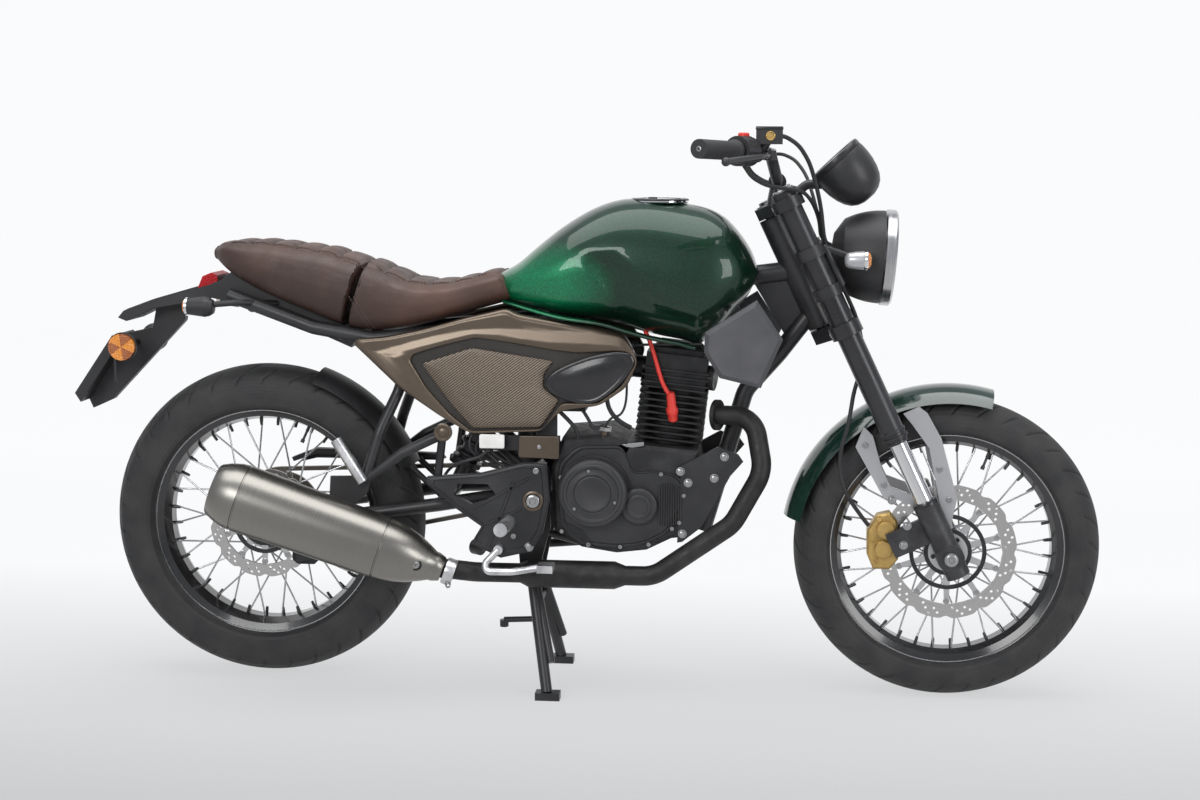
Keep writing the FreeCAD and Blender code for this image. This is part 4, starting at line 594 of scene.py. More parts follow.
def arc(a, middle, b, count):
    """Points along the circle through three points."""
    (ax, ay), (bx, by), (cx, cy) = a, middle, b
    d = 2 * (ax * (by - cy) + bx * (cy - ay) + cx * (ay - by))
    squares = [x * x + y * y for x, y in (a, middle, b)]
    ux = (squares[0] * (by - cy) + squares[1] * (cy - ay) + squares[2] * (ay - by)) / d
    uy = (squares[0] * (cx - bx) + squares[1] * (ax - cx) + squares[2] * (bx - ax)) / d
    radius = math.hypot(ax - ux, ay - uy)
    first, via, last = (math.atan2(y - uy, x - ux) for x, y in (a, middle, b))
    turn = (last - first) % (2 * math.pi)
    if (via - first) % (2 * math.pi) > turn:
        turn -= 2 * math.pi
    return [(ux + radius * math.cos(first + turn * k / count), uy + radius * math.sin(first + turn * k / count))
            for k in range(count + 1)]


# Wheels

BEAD = 0.218
GROOVE_DEPTH = 0.0042
GROOVE_LEAN = 0.9
GROOVE_FOOT = 0.034
SHOULDER_SHARE = 0.86
SHOULDER_DROP = 0.022
WALL_DROP = 0.045
PITCHES = 34
# Shares of a pitch at which the mesh lines lie, and the lines that each side's grooves take
STEPS = [0.0, 0.012, 0.09, 0.102, 0.2, 0.3, 0.4, 0.5, 0.512, 0.59, 0.602, 0.7, 0.8, 0.9]
LEFT_GROOVE, RIGHT_GROOVE = (1, 2), (8, 9)


def tyre(label, centre, radius, half, rim_half, finish):
    """Tyre with slanting grooves cut into its shoulders; mesh lines run along the grooves."""
    shoulder = (half * SHOULDER_SHARE, radius - SHOULDER_DROP)
    left = arc((half * 0.985, BEAD + 0.016), (half, BEAD + 0.038), shoulder, 8)
    lip = [(rim_half - 0.006, BEAD), (rim_half - 0.006, BEAD + 0.009), (half * 0.93, BEAD + 0.012)]
    right, far_lip = ([(-y, r) for y, r in reversed(points)] for points in (left, lip))
    tread = arc(shoulder, (0, radius), (-shoulder[0], shoulder[1]), 30)
    profile = lip + left[:-1] + tread + right[1:] + far_lip
    rows = []
    for pitch in range(PITCHES):
        start = 0.52 if pitch % 2 else 0.2
        for k, step in enumerate(STEPS):
            row = []
            for y, r in profile:
                share = abs(y) / half
                slant = GROOVE_LEAN * (share if r > radius - WALL_DROP else 0.97) ** 1.3
                turn = 2 * math.pi * (pitch + step + slant * 1.2) / PITCHES
                inside = smooth_step(start, start + 0.1, share) * (1 - smooth_step(SHOULDER_SHARE, 0.93, share))
                cut = k in (LEFT_GROOVE if y > 0 else RIGHT_GROOVE) and r > radius - GROOVE_FOOT
                row.append(centre + swung(turn, r - GROOVE_DEPTH * inside * cut, y))
            rows.append(row)
    made = smooth_skin(label + "_tyre_treaded", rows, finish, label + "_wheel", closed=True)
    replaced(made, label + "_tyre")


SPOKES_A_ROW = 9
SPOKE_LEAD = 5
VALVE_TURN = math.radians(67)
NIPPLE_SEAT = 0.1895
VALVE_SEAT = 0.205
WAVES = 12
WAVE_DEPTH = 0.0052
BORE_WAVE = -0.0016
HOLE_RADIUS = 0.0028
HOLE_ROWS = (0.26, 0.52, 0.78, 0.4, 0.66)
DISC_HALF = 0.002
RIVETS = 10
HUB_BOLTS = 5


def rim_trim(label, centre, half):
    """Bright pinstripe on both flanges, nipples at the spokes and the valve."""
    body = label + "_wheel"
    made = bmesh.new()
    for side, _ in SIDES:
        add_turned(made, [(223.6, -0.4), (224.2, 0.4), (225.6, 0.4), (226, -0.4)],
                   centre + Vector((0, side * half, 0)), (0, side, 0), 128)
    finish_mesh(label + "_rim_pinstripe", made, ring_alloy, body)
    made = bmesh.new()
    for side, lead in ((1, 1), (1, -1), (-1, 1), (-1, -1)):
        for k in range(SPOKES_A_ROW):
            out = swung(-math.radians(lead * SPOKE_LEAD + side * 10) - 2 * math.pi * k / SPOKES_A_ROW, 1)
            add_turned(made, [(0, 0), (2.7, 0), (3.2, 6), (3.2, 15)],
                       centre + out * NIPPLE_SEAT + at(0, side * 6.6, 0), out, 8)
    finish_mesh(label + "_rim_nipples", made, dark_fastener, body)
    out = swung(VALVE_TURN, 1)
    turned(label + "_valve", [(0, 0), (3.2, 0), (3.4, 12), (2.6, 14), (2.6, 30), (4, 31), (4, 38), (0, 38)],
           centre + out * VALVE_SEAT, (-out.x, -0.25, -out.z), dark_fastener, 16, body)


def wave_disc(label, centre, y, bore, radius, finish):
    """Steel disc cut to waves, with slanting rows of holes: filled flat, then given thickness."""
    made = bmesh.new()

    def loop(spots):
        ring = [made.verts.new(spot) for spot in spots]
        return [made.edges.new((ring[k], ring[(k + 1) % len(ring)])) for k in range(len(ring))]

    edges = []
    count = WAVES * 20
    for reach, depth in ((radius, WAVE_DEPTH), (bore, BORE_WAVE)):
        turns = [2 * math.pi * k / count for k in range(count)]
        edges += loop([centre + swung(turn, reach - depth * max(0, math.cos(WAVES * turn)) ** 3, y)
                       for turn in turns])
    for k in range(WAVES):
        for row, share in enumerate(HOLE_ROWS):
            turn = 2 * math.pi * (k + 0.22 + 0.13 * row) / WAVES
            middle = centre + swung(turn, bore + (radius - bore) * share, y)
            edges += loop([middle + swung(2 * math.pi * j / 10, HOLE_RADIUS) for j in range(10)])
    filled = bmesh.ops.triangle_fill(made, use_beauty=True, edges=edges, normal=(0, 1, 0))
    faces = [face for face in filled["geom"] if isinstance(face, bmesh.types.BMFace)]
    grown = bmesh.ops.extrude_face_region(made, geom=faces)
    for vert in [item for item in grown["geom"] if isinstance(item, bmesh.types.BMVert)]:
        vert.co.y += 2 * DISC_HALF
    for vert in made.verts:
        vert.co.y -= DISC_HALF
    disc = finish_mesh(label + "_wave_disc", made, finish, label + "_wheel", 30)
    replaced(disc, label + "_disc")


def disc_dress(label, centre, y, rivet_reach, carrier_reach):
    """A disc's rivets, the bolts of its hub and the two rings of its carrier; y is the disc's middle."""
    body = label + "_wheel"
    made = bmesh.new()
    for k in range(RIVETS):
        add_turned(made, [(6.5, -0.5), (6.5, 0.2), (5.5, 0.6), (3.2, 0.6), (2.8, 0.1), (0, 0.1)],
                   centre + swung(math.radians(90 + 360 / RIVETS * k), rivet_reach, y - 0.0021), RIGHT, 18)
    finish_mesh(label + "_disc_rivets", made, fastener, body)
    bolts(label + "_disc_hub_bolts", [(centre + swung(math.radians(54 + 360 / HUB_BOLTS * k), 0.03, y - 0.0031),
                                       RIGHT, 4.2, 4) for k in range(HUB_BOLTS)], dark_fastener, body)
    made = bmesh.new()
    edge = carrier_reach * 1000
    for low, high in ((36, 46), (edge - 8, edge)):
        add_turned(made, [(low, -2.2), (low, 2.2), (high, 2.2), (high, -2.2), (low, -2.2)],
                   centre + Vector((0, y, 0)), RIGHT, 72)
    finish_mesh(label + "_carrier_rings", made, anodised, body)


tyre("front", FRONT_AXLE, 0.296, 0.055, 0.036, front_rubber)
tyre("rear", REAR_AXLE, 0.313, 0.070, 0.048, rear_rubber)
rim_trim("front", FRONT_AXLE, 0.036)
rim_trim("rear", REAR_AXLE, 0.048)
wave_disc("front", FRONT_AXLE, -0.056, 0.103, 0.132, front_steel)
wave_disc("rear", REAR_AXLE, -0.06, 0.084, 0.11, rear_steel)
disc_dress("front", FRONT_AXLE, -0.056, 0.0975, 0.074)
disc_dress("rear", REAR_AXLE, -0.06, 0.0785, 0.062)


# Tank

FILLER_X = 0.149
WELL_DEPTH = 0.034
WELL_EDGE = (0.03, 0.043)
KNEE_DEPTH = 0.011
KNEE_EDGE = (-0.002, 0.02)
TANK_WAIST = 0.45
TANK_TOP = metres([
    (-168, 820), (-150, 829), (-125, 844), (-85, 878), (-46, 909), (-7, 935), (32, 955), (71, 967), (110, 970.5),
    (149, 969), (207, 960), (246, 950.5), (275, 935), (295, 916), (315, 891), (329, 868), (341, 837)])
TANK_LOW = metres([
    (-168, 776), (-115, 762), (-33, 744), (44, 733.5), (97, 719), (139, 708), (196, 697.5), (229, 690.5),
    (260, 710), (290, 745), (325, 790), (341, 825)])
TANK_HALF = metres([
    (-168, 60), (-140, 80), (-100, 100), (-30, 121), (60, 129), (150, 130), (220, 127), (270, 115), (310, 92),
    (341, 50)])
KNEE_RECESS = metres([
    (-3, 870), (76, 871), (159, 779), (231, 758), (311, 783), (330, 740), (228, 660), (57, 700), (62, 766), (35, 818)])
SEAM_LIP = metres([(-12, 6), (2, 4), (4.5, 2), (4.5, -0.5), (2, -2), (-12, -2)])


def inside_by(outline, x, height):
    """How far a point lies inside an outline; negative outside."""
    nearest = 1e9
    inside = False
    for k, (ax, az) in enumerate(outline):
        bx, bz = outline[(k + 1) % len(outline)]
        run = max(0, min(1, ((x - ax) * (bx - ax) + (height - az) * (bz - az))
                         / ((bx - ax) ** 2 + (bz - az) ** 2)))
        nearest = min(nearest, math.hypot(x - ax - run * (bx - ax), height - az - run * (bz - az)))
        if (az > height) != (bz > height) and x < ax + (height - az) / (bz - az) * (bx - ax):
            inside = not inside
    return nearest if inside else -nearest


def tank_row(x, count=72):
    """Section across the tank at x: domed above with the filler's well, tucked in below, dented at the knees."""
    top, low, half = (through(line, x) for line in (TANK_TOP, TANK_LOW, TANK_HALF))
    widest = low + (top - low) * TANK_WAIST
    row = []
    for k in range(count):
        a = 2 * math.pi * k / count
        c, s = math.cos(a), math.sin(a)
        y = half * math.copysign(abs(s) ** (2 / 2.35 if c > 0 else 2 / 3.4), s)
        if c > 0:
            height = widest + (top - widest) * abs(c) ** (2 / 2.1)
        else:
            height = widest - (widest - low) * abs(c) ** (2 / 2.6)
            y *= 1 - 0.1 * abs(c)
        if abs(y) > 0.02:
            y -= math.copysign(KNEE_DEPTH * smooth_step(*KNEE_EDGE, inside_by(KNEE_RECESS, x, height)), y)
        if c > 0:
            height -= WELL_DEPTH * (1 - smooth_step(*WELL_EDGE, math.hypot(x - FILLER_X, y)))
        row.append(Vector((x, y, height)))
    return row


def tank(stations=110):
    """The tank's skin, and the seam lip along each lower edge."""
    start, stop = TANK_TOP[0][0], TANK_TOP[-1][0]
    made = bmesh.new()
    lofted(made, [tank_row(start + (stop - start) * (0.5 - 0.5 * math.cos(math.pi * i / stations)))
                  for i in range(stations + 1)], first_cap=True, last_cap=True)
    replaced(finish_mesh("tank_shell", made, green, angle=60), "fuel_tank")
    for side, label in SIDES:
        rows = []
        for i in range(60):
            x = -0.15 + 0.375 * i / 59
            half, low = through(TANK_HALF, x) * 0.93, through(TANK_LOW, x)
            rows.append([Vector((x, side * (half + dy), low + dz)) for dy, dz in SEAM_LIP])
        smooth_skin("tank_seam_" + label, rows, green, "chassis")


tank()


# Seats

CHANNEL_PITCH = 0.0445
CHANNEL_DEPTH = 0.0078
CHANNEL_START = -0.159
CHANNEL_WIDTH = 0.085
CHANNEL_SWELL = 0.003
# Shares of the seat's half width: where the channels fade out, the valley of the seam and the piping beside it
FIELD_EDGE = (0.60, 0.68)
VALLEY_AT, VALLEY_WIDTH, VALLEY_DEPTH = 0.66, 0.024, 0.0072
PIPING_AT, PIPING_WIDTH, PIPING_HEIGHT = 0.76, 0.06, 0.0016
SEAT_ROLL = 0.34
SEAT_TOP = metres([
    (-722, 868), (-705, 878), (-680, 881.5), (-641, 882.5), (-610, 882), (-565, 877), (-530, 873), (-484, 866),
    (-444, 853), (-398, 841), (-374, 830), (-344, 817), (-314, 809), (-264, 808), (-224, 815), (-185, 825),
    (-159, 830), (-112, 836)])
SEAT_LOW = metres([
    (-722, 846), (-709, 834), (-678, 811), (-616, 779), (-538, 747), (-460, 717), (-420, 708), (-377, 708.5),
    (-303, 725), (-225, 747), (-148, 769), (-112, 779)])
SEAT_HALF = metres([
    (-722, 50), (-700, 76), (-670, 94), (-610, 106), (-530, 114), (-460, 116), (-410, 117), (-350, 117), (-290, 116),
    (-225, 110), (-160, 96), (-112, 84)])
# Shares and shifts of the rings that close a seat's end
CROWN = ((0.985, 0.0012), (0.955, 0.0032), (0.9, 0.005), (0.78, 0.0062), (0.5, 0.0068))


def seat_shape(x, around):
    """Point on the saddle: around runs 0 at the middle of the top to 1 at the middle underneath."""
    top, low, half = (through(line, x) for line in (SEAT_TOP, SEAT_LOW, SEAT_HALF))
    a = math.pi * abs(around)
    c, s = math.cos(a), math.sin(a)
    roll = top - (top - low) * SEAT_ROLL
    if c > 0:
        y = half * 0.985 * s ** (2 / 2.9)
        height = roll + (top - roll) * c ** (2 / 2.6)
        flank = y / half
        phase = ((x - CHANNEL_START) / CHANNEL_PITCH) % 1
        groove = math.exp(-(min(phase, 1 - phase) / CHANNEL_WIDTH) ** 2)
        quilt = CHANNEL_SWELL * math.sin(math.pi * phase) - CHANNEL_DEPTH * groove
        height += (1 - smooth_step(*FIELD_EDGE, flank)) * quilt
        height -= VALLEY_DEPTH * math.exp(-((flank - VALLEY_AT) / VALLEY_WIDTH) ** 2)
        height += PIPING_HEIGHT * math.exp(-((flank - PIPING_AT) / PIPING_WIDTH) ** 2)
    else:
        y = half * s ** (2 / 4.2) * (1 + 0.05 * c)
        height = roll - (roll - low) * (-c) ** (2 / 3.2)
    return Vector((x, math.copysign(y, around), height))


def saddle_cut(x_low, x_high):
    """The slanting parting between the two seats, as x at a given height."""
    return lambda height: x_low + (x_high - x_low) * (height - 0.65) / 0.25


def seat(name, start, stop, start_line, stop_line, stations=150, count=96):
    """One seat: a closed skin whose ends follow slanting lines and are crowned over."""
    rows = []
    for i in range(stations + 1):
        row = []
        for k in range(count):
            around = -1 + 2 * k / count
            spot = seat_shape(start + (stop - start) * i / stations, around)
            for _ in range(4):
                if start_line and spot.x < start_line(spot.z):
                    spot = seat_shape(start_line(spot.z), around)
                if spot.x > stop_line(spot.z):
                    spot = seat_shape(stop_line(spot.z), around)
            row.append(spot)
        rows.append(row)

    def shrink(row, share, shift):
        middle = sum(row, Vector()) / len(row)
        return [middle + (p - middle) * share + Vector((shift, 0, 0)) for p in row]

    rows = ([shrink(rows[0], share, -shift) for share, shift in reversed(CROWN)] + rows
            + [shrink(rows[-1], share, shift) for share, shift in CROWN])
    made = bmesh.new()
    lofted(made, rows, first_cap=True, last_cap=True)
    bmesh.ops.remove_doubles(made, verts=made.verts, dist=0.00015)
    cover = replaced(finish_mesh(name + "_cover", made, hide, angle=80), name)


seat("pillion_seat", -0.7195, -0.406, None, saddle_cut(-0.4875, -0.4115))
seat("rider_seat", -0.475, -0.135, saddle_cut(-0.4715, -0.3955), lambda height: -0.172 + (0.86 - height) * 0.45)


STITCH_PITCH = 0.0062
STITCH = [(0, -0.3), (0.55, 0.4), (0.55, 3.8), (0, 4.5)]


def stitches(name, spots):
    """A row of thread stitches along points."""
    made = bmesh.new()
    travelled = 0.0
    for a, b in zip(spots, spots[1:]):
        run = (b - a).length
        while travelled < run:
            add_turned(made, STITCH, a + (b - a) * (travelled / run), (b - a).normalized(), 6)
            travelled += STITCH_PITCH
        travelled -= run
    finish_mesh(name, made, thread)


def first_past(low, high, before):
    """Where around the seat a test stops being true, by halving."""
    for _ in range(24):
        middle = (low + high) / 2
        low, high = (middle, high) if before(middle) else (low, middle)
    return high


def seam_line(start, stop, level, side, count=90):
    """Points along a seat's flank at one share of its half width."""
    line = []
    for i in range(count + 1):
        x = start + (stop - start) * i / count
        around = first_past(0.02, 0.5, lambda a: abs(seat_shape(x, a).y) < level * through(SEAT_HALF, x))
        line.append(seat_shape(x, side * around) + at(0, side * 0.2, 0.3))
    return line


def slant_line(start, stop, side, count=30):
    """Points down a seat's flank between two places given as X and Z."""
    line = []
    for x, height in [between([start], [stop], i / count)[0] for i in range(count + 1)]:
        around = first_past(0.2, 0.8, lambda a: seat_shape(x, a).z > height)
        line.append(seat_shape(x, side * around) + at(0, side * 0.4, 0))
    return line


for side, label in SIDES:
    for row, shift in (("front", 0.0045), ("back", -0.0045)):
        stitches("rider_%s_%s_slant_seam" % (label, row),
                 slant_line((-0.437 + shift, 0.782), (-0.4 + shift, 0.715), side))
    for row, level in (("upper", 0.615), ("lower", 0.705)):
        for seat_name, start, stop in (("pillion", -0.7, -0.425), ("rider", -0.395, -0.185)):
            stitches("%s_%s_%s_seam" % (seat_name, label, row), seam_line(start, stop, level, side))


# Side covers: a crowned shell round a recess, the woven panel and the glossy oval in it

COVER_Y = 122
SHELL_OUTER = [
    (-432, 699), (-375, 704), (-300, 720), (-222, 742), (-137, 762), (-116, 751), (-32, 737), (44, 726), (90, 714),
    (104, 691), (117, 664), (95, 614), (45, 579), (-32, 566), (-70, 527), (-206, 520), (-264, 552), (-342, 604),
    (-436, 690)]
SHELL_INNER = [
    (-318, 671), (-290, 681), (-245, 694), (-195, 706), (-140, 699), (-110, 694), (-40, 683), (0, 679), (70, 683),
    (100, 681), (113, 662), (84, 617), (40, 583), (-30, 584), (-64, 532), (-204, 525), (-247, 558), (-292, 608),
    (-323, 660)]
PANEL = [
    (-302, 654), (-203, 686), (-45, 663), (-64, 638), (-66, 612), (-34, 588), (-70, 534), (-202, 530), (-240, 571)]
OVAL = [
    (-63, 624), (-50, 641), (-18, 658), (30, 676), (74, 684), (104, 681), (113, 664), (98, 636), (70, 606), (38, 583),
    (6, 580), (-34, 592), (-57, 606)]
CREASE = metres([
    (-432, 680), (-396, 675.7), (-341, 690), (-283, 706.3), (-205, 720.8), (-157, 723.4), (-32, 721.2), (82, 715.2),
    (101, 702), (120, 680)])
CREASE_BOTTOM = 0.66
CREASE_BLEND = 0.012
SHOULDER_RUN = 0.022
SHOULDER_LEAN = 0.0062
# Shares of the way inward and offsets from COVER_Y
SHELL_LEVELS = ([(0.0, -20), (0.0, -7.5), (0.015, -4.2), (0.05, -1.6), (0.12, 0.4)]
                + [(0.16 + 0.04 * k, 1.2) for k in range(17)]
                + [(0.86, 0.2), (0.94, -1), (0.985, -2.2), (1.0, -4.5)])
PANEL_LEVELS = [(1.0, -9.8), (1.0, -5.8), (0.99, -4.4), (0.965, -3.6), (0.8, -2.8), (0.5, -2), (0.2, -1.8)]
OVAL_LEVELS = [
    (0.97, -12.8), (1.0, -3), (0.995, -0.8), (0.975, 1.2), (0.93, 2.6), (0.86, 3), (0.84, 2.2), (0.8, 2.4),
    (0.6, 4.4), (0.35, 5.8), (0.12, 6.2)]


def creased(ring, side):
    """Shoulder of the cover: it leans out from the crease down to the recess."""
    for spot in ring:
        shoulder = 1 - min(1, max(0, (through(CREASE, spot.x) - spot.z) / SHOULDER_RUN))
        if spot.z > CREASE_BOTTOM:
            spot.y -= side * SHOULDER_LEAN * shoulder * min(1, (spot.z - CREASE_BOTTOM) / CREASE_BLEND)
    return ring


def lid(name, outline, levels, finish, node):
    """Crowned lid on both sides, from shrinking copies of one outline."""
    made = bmesh.new()
    for side, _ in SIDES:
        lofted(made, [level_ring(toward_middle(outline, share), COVER_Y + dy, side) for share, dy in levels],
               last_cap=True)
    replaced(finish_mesh(name, made, finish, angle=60), node)


def side_covers():
    outer = rounded(SHELL_OUTER, 14, 4)
    inner = rounded(SHELL_INNER, 11, 4)
    shell, floor = bmesh.new(), bmesh.new()
    for side, _ in SIDES:
        rings = [creased(level_ring(between(outer, inner, share), COVER_Y + dy, side), side)
                 for share, dy in SHELL_LEVELS]
        lofted(shell, rings + [level_ring(inner, COVER_Y - 10.5, side)])
        # The near-black floor of the recess round the panel is painted shade.
        lofted(floor, [level_ring(between(inner, outer, 0.01), COVER_Y - 9.8, side)], last_cap=True)
    replaced(finish_mesh("cover_shells", shell, bronze, angle=70), "side_covers")
    finish_mesh("cover_recesses", floor, painted_shade_black)
    lid("woven_panels", rounded(PANEL, 7, 4), PANEL_LEVELS, weave, "side_panels")
    lid("oval_lids", rounded(OVAL, 30, 6), OVAL_LEVELS, gloss_black, "oval_covers")


side_covers()


# Engine dress

CLUTCH = at(33, -144, 411)
SMALL_COVER = at(120, -122, 384)
GENERATOR = at(168, 156, 396)
CASE_OUTLINE = [
    (-34, 345), (0, 306), (75, 299), (130, 306), (176, 330), (206, 380), (212, 418), (196, 444), (150, 452),
    (105, 446), (88, 500), (0, 497), (-38, 460)]
CASE_BOLTS = [
    (162, 446), (206, 405), (198, 352), (184, 340), (139, 308), (84, 302), (22, 305), (-30, 330), (-32, 436),
    (90, 440)]
PLATE_BOLTS = [(283, 482), (264, 440), (214, 430), (199, 452), (204, 330)]
LEFT_CASE_BOLTS = [(-30, 376), (-30, 434), (72, 380), (72, 430), (22, 450)]


def engine_covers():
    """Raised rings and lids on the covers, cast ribs beside them and the flange of the case."""
    turned("clutch_ring", [
        (36, -2), (36, 1.2), (38.5, 1.6), (40, 0.4), (49, 0.4), (51, 2.8), (55.5, 2.8), (57.5, 0.6), (57.5, -2)],
        CLUTCH, RIGHT, engine_paint, 72)
    turned("clutch_lid", [(35, -2), (35, 2), (33.5, 3), (30, 2.8), (28, 1.8), (0, 2.2)], CLUTCH, RIGHT,
           engine_paint, 72)
    turned("small_cover_ring", [(24, -2), (24, 2), (22.5, 2.8), (18, 2.8), (16.5, 1.4), (0, 1.6)], SMALL_COVER,
           RIGHT, engine_paint)
    turned("generator_ring", [(34, -2), (34, 2.4), (32, 3.4), (20, 3.4), (18, 1.6), (0, 2)], GENERATOR, LEFT,
           engine_paint, 64)
    made = bmesh.new()
    for k in range(10):
        height = 84 * math.sqrt(max(0.1, 1 - ((k - 3.5) / 8) ** 2))
        slab(made, at(159.1 + 4.6 * k, -104.25, 386), at(2.2, 10.5, height))
    turn = Matrix.Rotation(math.radians(-32), 3, "Y")
    for k in range(8):
        slab(made, at(-20 + 5.8 * k, -104, 336 - 3 * k), at(2.2, 8, 38), turn)
    finish_mesh("case_ribs", made, engine_paint)
    made = bmesh.new()
    bulge = rounded(CASE_OUTLINE, 18, 4)
    lofted(made, [level_ring(toward_middle(bulge, share), y, -1) for share, y in
                  ((1, 96), (1, 103.5), (0.99, 105), (0.955, 105), (0.945, 103.5), (0.94, 103.5), (0.93, 105.5))],
           last_cap=True)
    finish_mesh("clutch_case_flange", made, engine_paint, angle=50)


def engine_bolts():
    spots = flank_bolts(CASE_BOLTS, -105.2, 4.2, 5)
    spots += flank_bolts(PLATE_BOLTS, -106.3, 6.2, 6, "hex") + flank_bolts(PLATE_BOLTS[:2], 106.3, 6.2, 6, "hex")
    spots += [(GENERATOR + swung(math.radians(a), 0.046, -0.001), LEFT, 4, 4) for a in range(30, 390, 60)]
    spots += [(CLUTCH + swung(math.radians(a), 0.0455, 0.0006), RIGHT, 3.2, 3) for a in (100, 220, 340)]
    bolts("engine_bolts", spots + flank_bolts(LEFT_CASE_BOLTS, 126, 4.5, 5), fastener)


def throttle_body():
    """Throttle body between the head and the air box, with its cable wheel."""
    start = at(30, 0, 624.5)
    turned("throttle_barrel", [(21, -2), (27, 0), (27, 8), (23.5, 10), (23.5, 26), (28, 28), (28, 36), (21, 38)],
           start, (0.98, 0, 0.13), bare_alloy, 40)
    turned("throttle_wheel", [(0, 0), (17, 0), (17, 1.5), (14.5, 3), (17, 4.5), (17, 6), (6, 6), (6, 11), (0, 11)],
           start + at(16, -30, 6), RIGHT, grey_cast, 32)
    hose("throttle_cable", [(42, -36, 644.5), (60, -45, 680), (110, -50, 690), (200, -58, 692), (235, -62, 694)],
         2.6, soft_rubber)


def leads():
    """Plug cap with its lead, and the hoses that show behind the right cover."""
    hose("plug_lead", [
        (112, -30, 740), (126, -50, 716), (139, -62, 689), (152, -70, 645), (164, -78, 610), (178, -78, 592)],
        4.2, red_silicone)
    turned("plug_cap", [
        (0, 0), (6.5, 1), (8.5, 8), (8.8, 30), (11.5, 34), (11.5, 44), (9.5, 47), (9.2, 58), (4.5, 62), (0, 62)],
        at(177, -79, 602), (0.05, 0.14, -0.6), red_silicone, 24)
    hose("breather_hose", [(100, -50, 690), (75, -75, 668), (50, -90, 600), (66, -88, 548), (100, -70, 530)],
         4.5, soft_rubber)
    hose("drain_hose", [(-50, -94, 575), (-20, -100, 550), (4, -98, 520), (-8, -92, 488), (-30, -88, 460)],
         4, soft_rubber)
    hose("inlet_hose", [(0, -86, 575), (20, -98, 552), (30, -96, 525), (50, -90, 536)], 3.5, soft_rubber)
    hose("sensor_lead", [(53, -88, 534), (60, -90, 552), (86, -88, 556), (95, -80, 600), (90, -70, 660)],
         2.4, soft_rubber)
    for k, (x, lift) in enumerate(((-205, 10), (-192, 0), (-178, 14), (-164, 4))):
        hose("box_lead_%d" % k, [
            (x, -98, 505 + lift), (x - 12, -106, 486 + lift), (x + 14, -100, 466), (x + 50, -98, 456 - lift),
            (x + 92, -96, 447)], 2.6 + 0.4 * k, soft_rubber if k % 2 else grey_cast)
    hose("cover_lead", [(-170, -115, 494), (-178, -118, 478), (-215, -112, 466), (-250, -106, 452), (-262, -100, 430)],
         3, grey_cast)


def fittings():
    """Sensor and cable stay by the cylinder; white connector and bronze plate below the cover."""
    plate("white_box", rounded([(-188, 493), (-139, 493), (-139, 520), (-188, 520)], 4), -127.5, -121,
          white_plastic, 1.5)
    plate("bronze_plate", rounded([(-112, 476), (-34, 474), (-33, 518), (-111, 518)], 4), -124.5, -121.5, bronze, 1)
    turned("plate_rivet", [(4, 0), (3.8, 1), (0, 1.8)], at(-72, -124.5, 497), RIGHT, fastener, 20)
    turned("sensor_body", [(9, -24), (9, -6), (10.5, -5), (10.5, 2), (7.5, 3), (7.5, 20), (6, 21), (0, 21)],
           at(50, -88, 512), (0.1, 0, 1), bronze, 24)
    turned("sensor_nut", [(13, -4), (13, 3), (11, 4), (0, 4)], at(53, -88, 530), (0.1, 0, 1), fastener, 6)
    plate("cable_stay", [(78, 500), (128, 507), (128, 499), (100, 494), (92, 478), (80, 482)], -100, -96.5,
          fastener, 0.8, 1)


engine_covers()
engine_bolts()
throttle_body()
leads()
fittings()


# Silencer

def silencer():
    made = turned("silencer", [
        (0, 0), (23.2, 0), (24.2, 1.5), (28.5, 14), (28.7, 20), (37, 36), (47.5, 60), (54.2, 83), (58.4, 107),
        (59.7, 123.5), (57.5, 124.2), (57.5, 126.4), (60.2, 127.3), (61.7, 150), (63.8, 280), (65.7, 408.5),
        (63.8, 409.5), (63.8, 411.5), (65.5, 412.5), (63.8, 428), (57.5, 448), (50.2, 463), (47.5, 465.8),
        (44.8, 464.5), (41, 455), (38, 440), (0, 440)], MUFFLER_FRONT, MUFFLER_LINE, stainless, 96)
    replaced(made, "muffler")
    turned("silencer_core", [(0, 0), (30, 0), (32, 2), (32, 12), (29, 14), (28.5, 4), (0, 4)],
           MUFFLER_FRONT + MUFFLER_LINE * 0.444, MUFFLER_LINE, pipe_black)
    turned("silencer_clamp", [(23.5, -24), (25.5, -23.5), (26.2, -20), (26.2, -8), (25.5, -4.5), (23.5, -4)],
           MUFFLER_FRONT, MUFFLER_LINE, bare_alloy)
    boss = MUFFLER_FRONT + MUFFLER_LINE * 0.046 + at(0, -40.5, 2)
    outward = (0.18, -1, 0.1)
    turned("silencer_boss", [(10.5, -6), (11.2, 0), (10.4, 1.4), (7.8, 1.4), (7.2, 0)], boss, outward, pipe_black, 32)
    bolts("silencer_bolts", [
        (boss - at(0, 0.8, 0), outward, 6.2, 3.2),
        (MUFFLER_FRONT - MUFFLER_LINE * 0.014 + at(0, -18, -20), (0.2, -0.7, -0.7), 4.5, 8, "hex")], fastener)


silencer()


# Axle, brace, caliper and bracket bolts

FENDER_BOLTS = [(694, 460), (714, 401), (589, 427)]
BRACKET_EDGE = [
    (-286, 435), (-183, 444), (-100, 466), (-58, 466), (-52, 398), (-66, 331), (-88, 298), (-145, 284), (-199, 309),
    (-178, 343), (-229, 378), (-288, 425)]
BRACKET_RIBS = metres([(-200, 376, -90, 438), (-178, 345, -105, 378), (-170, 300, -120, 430)])


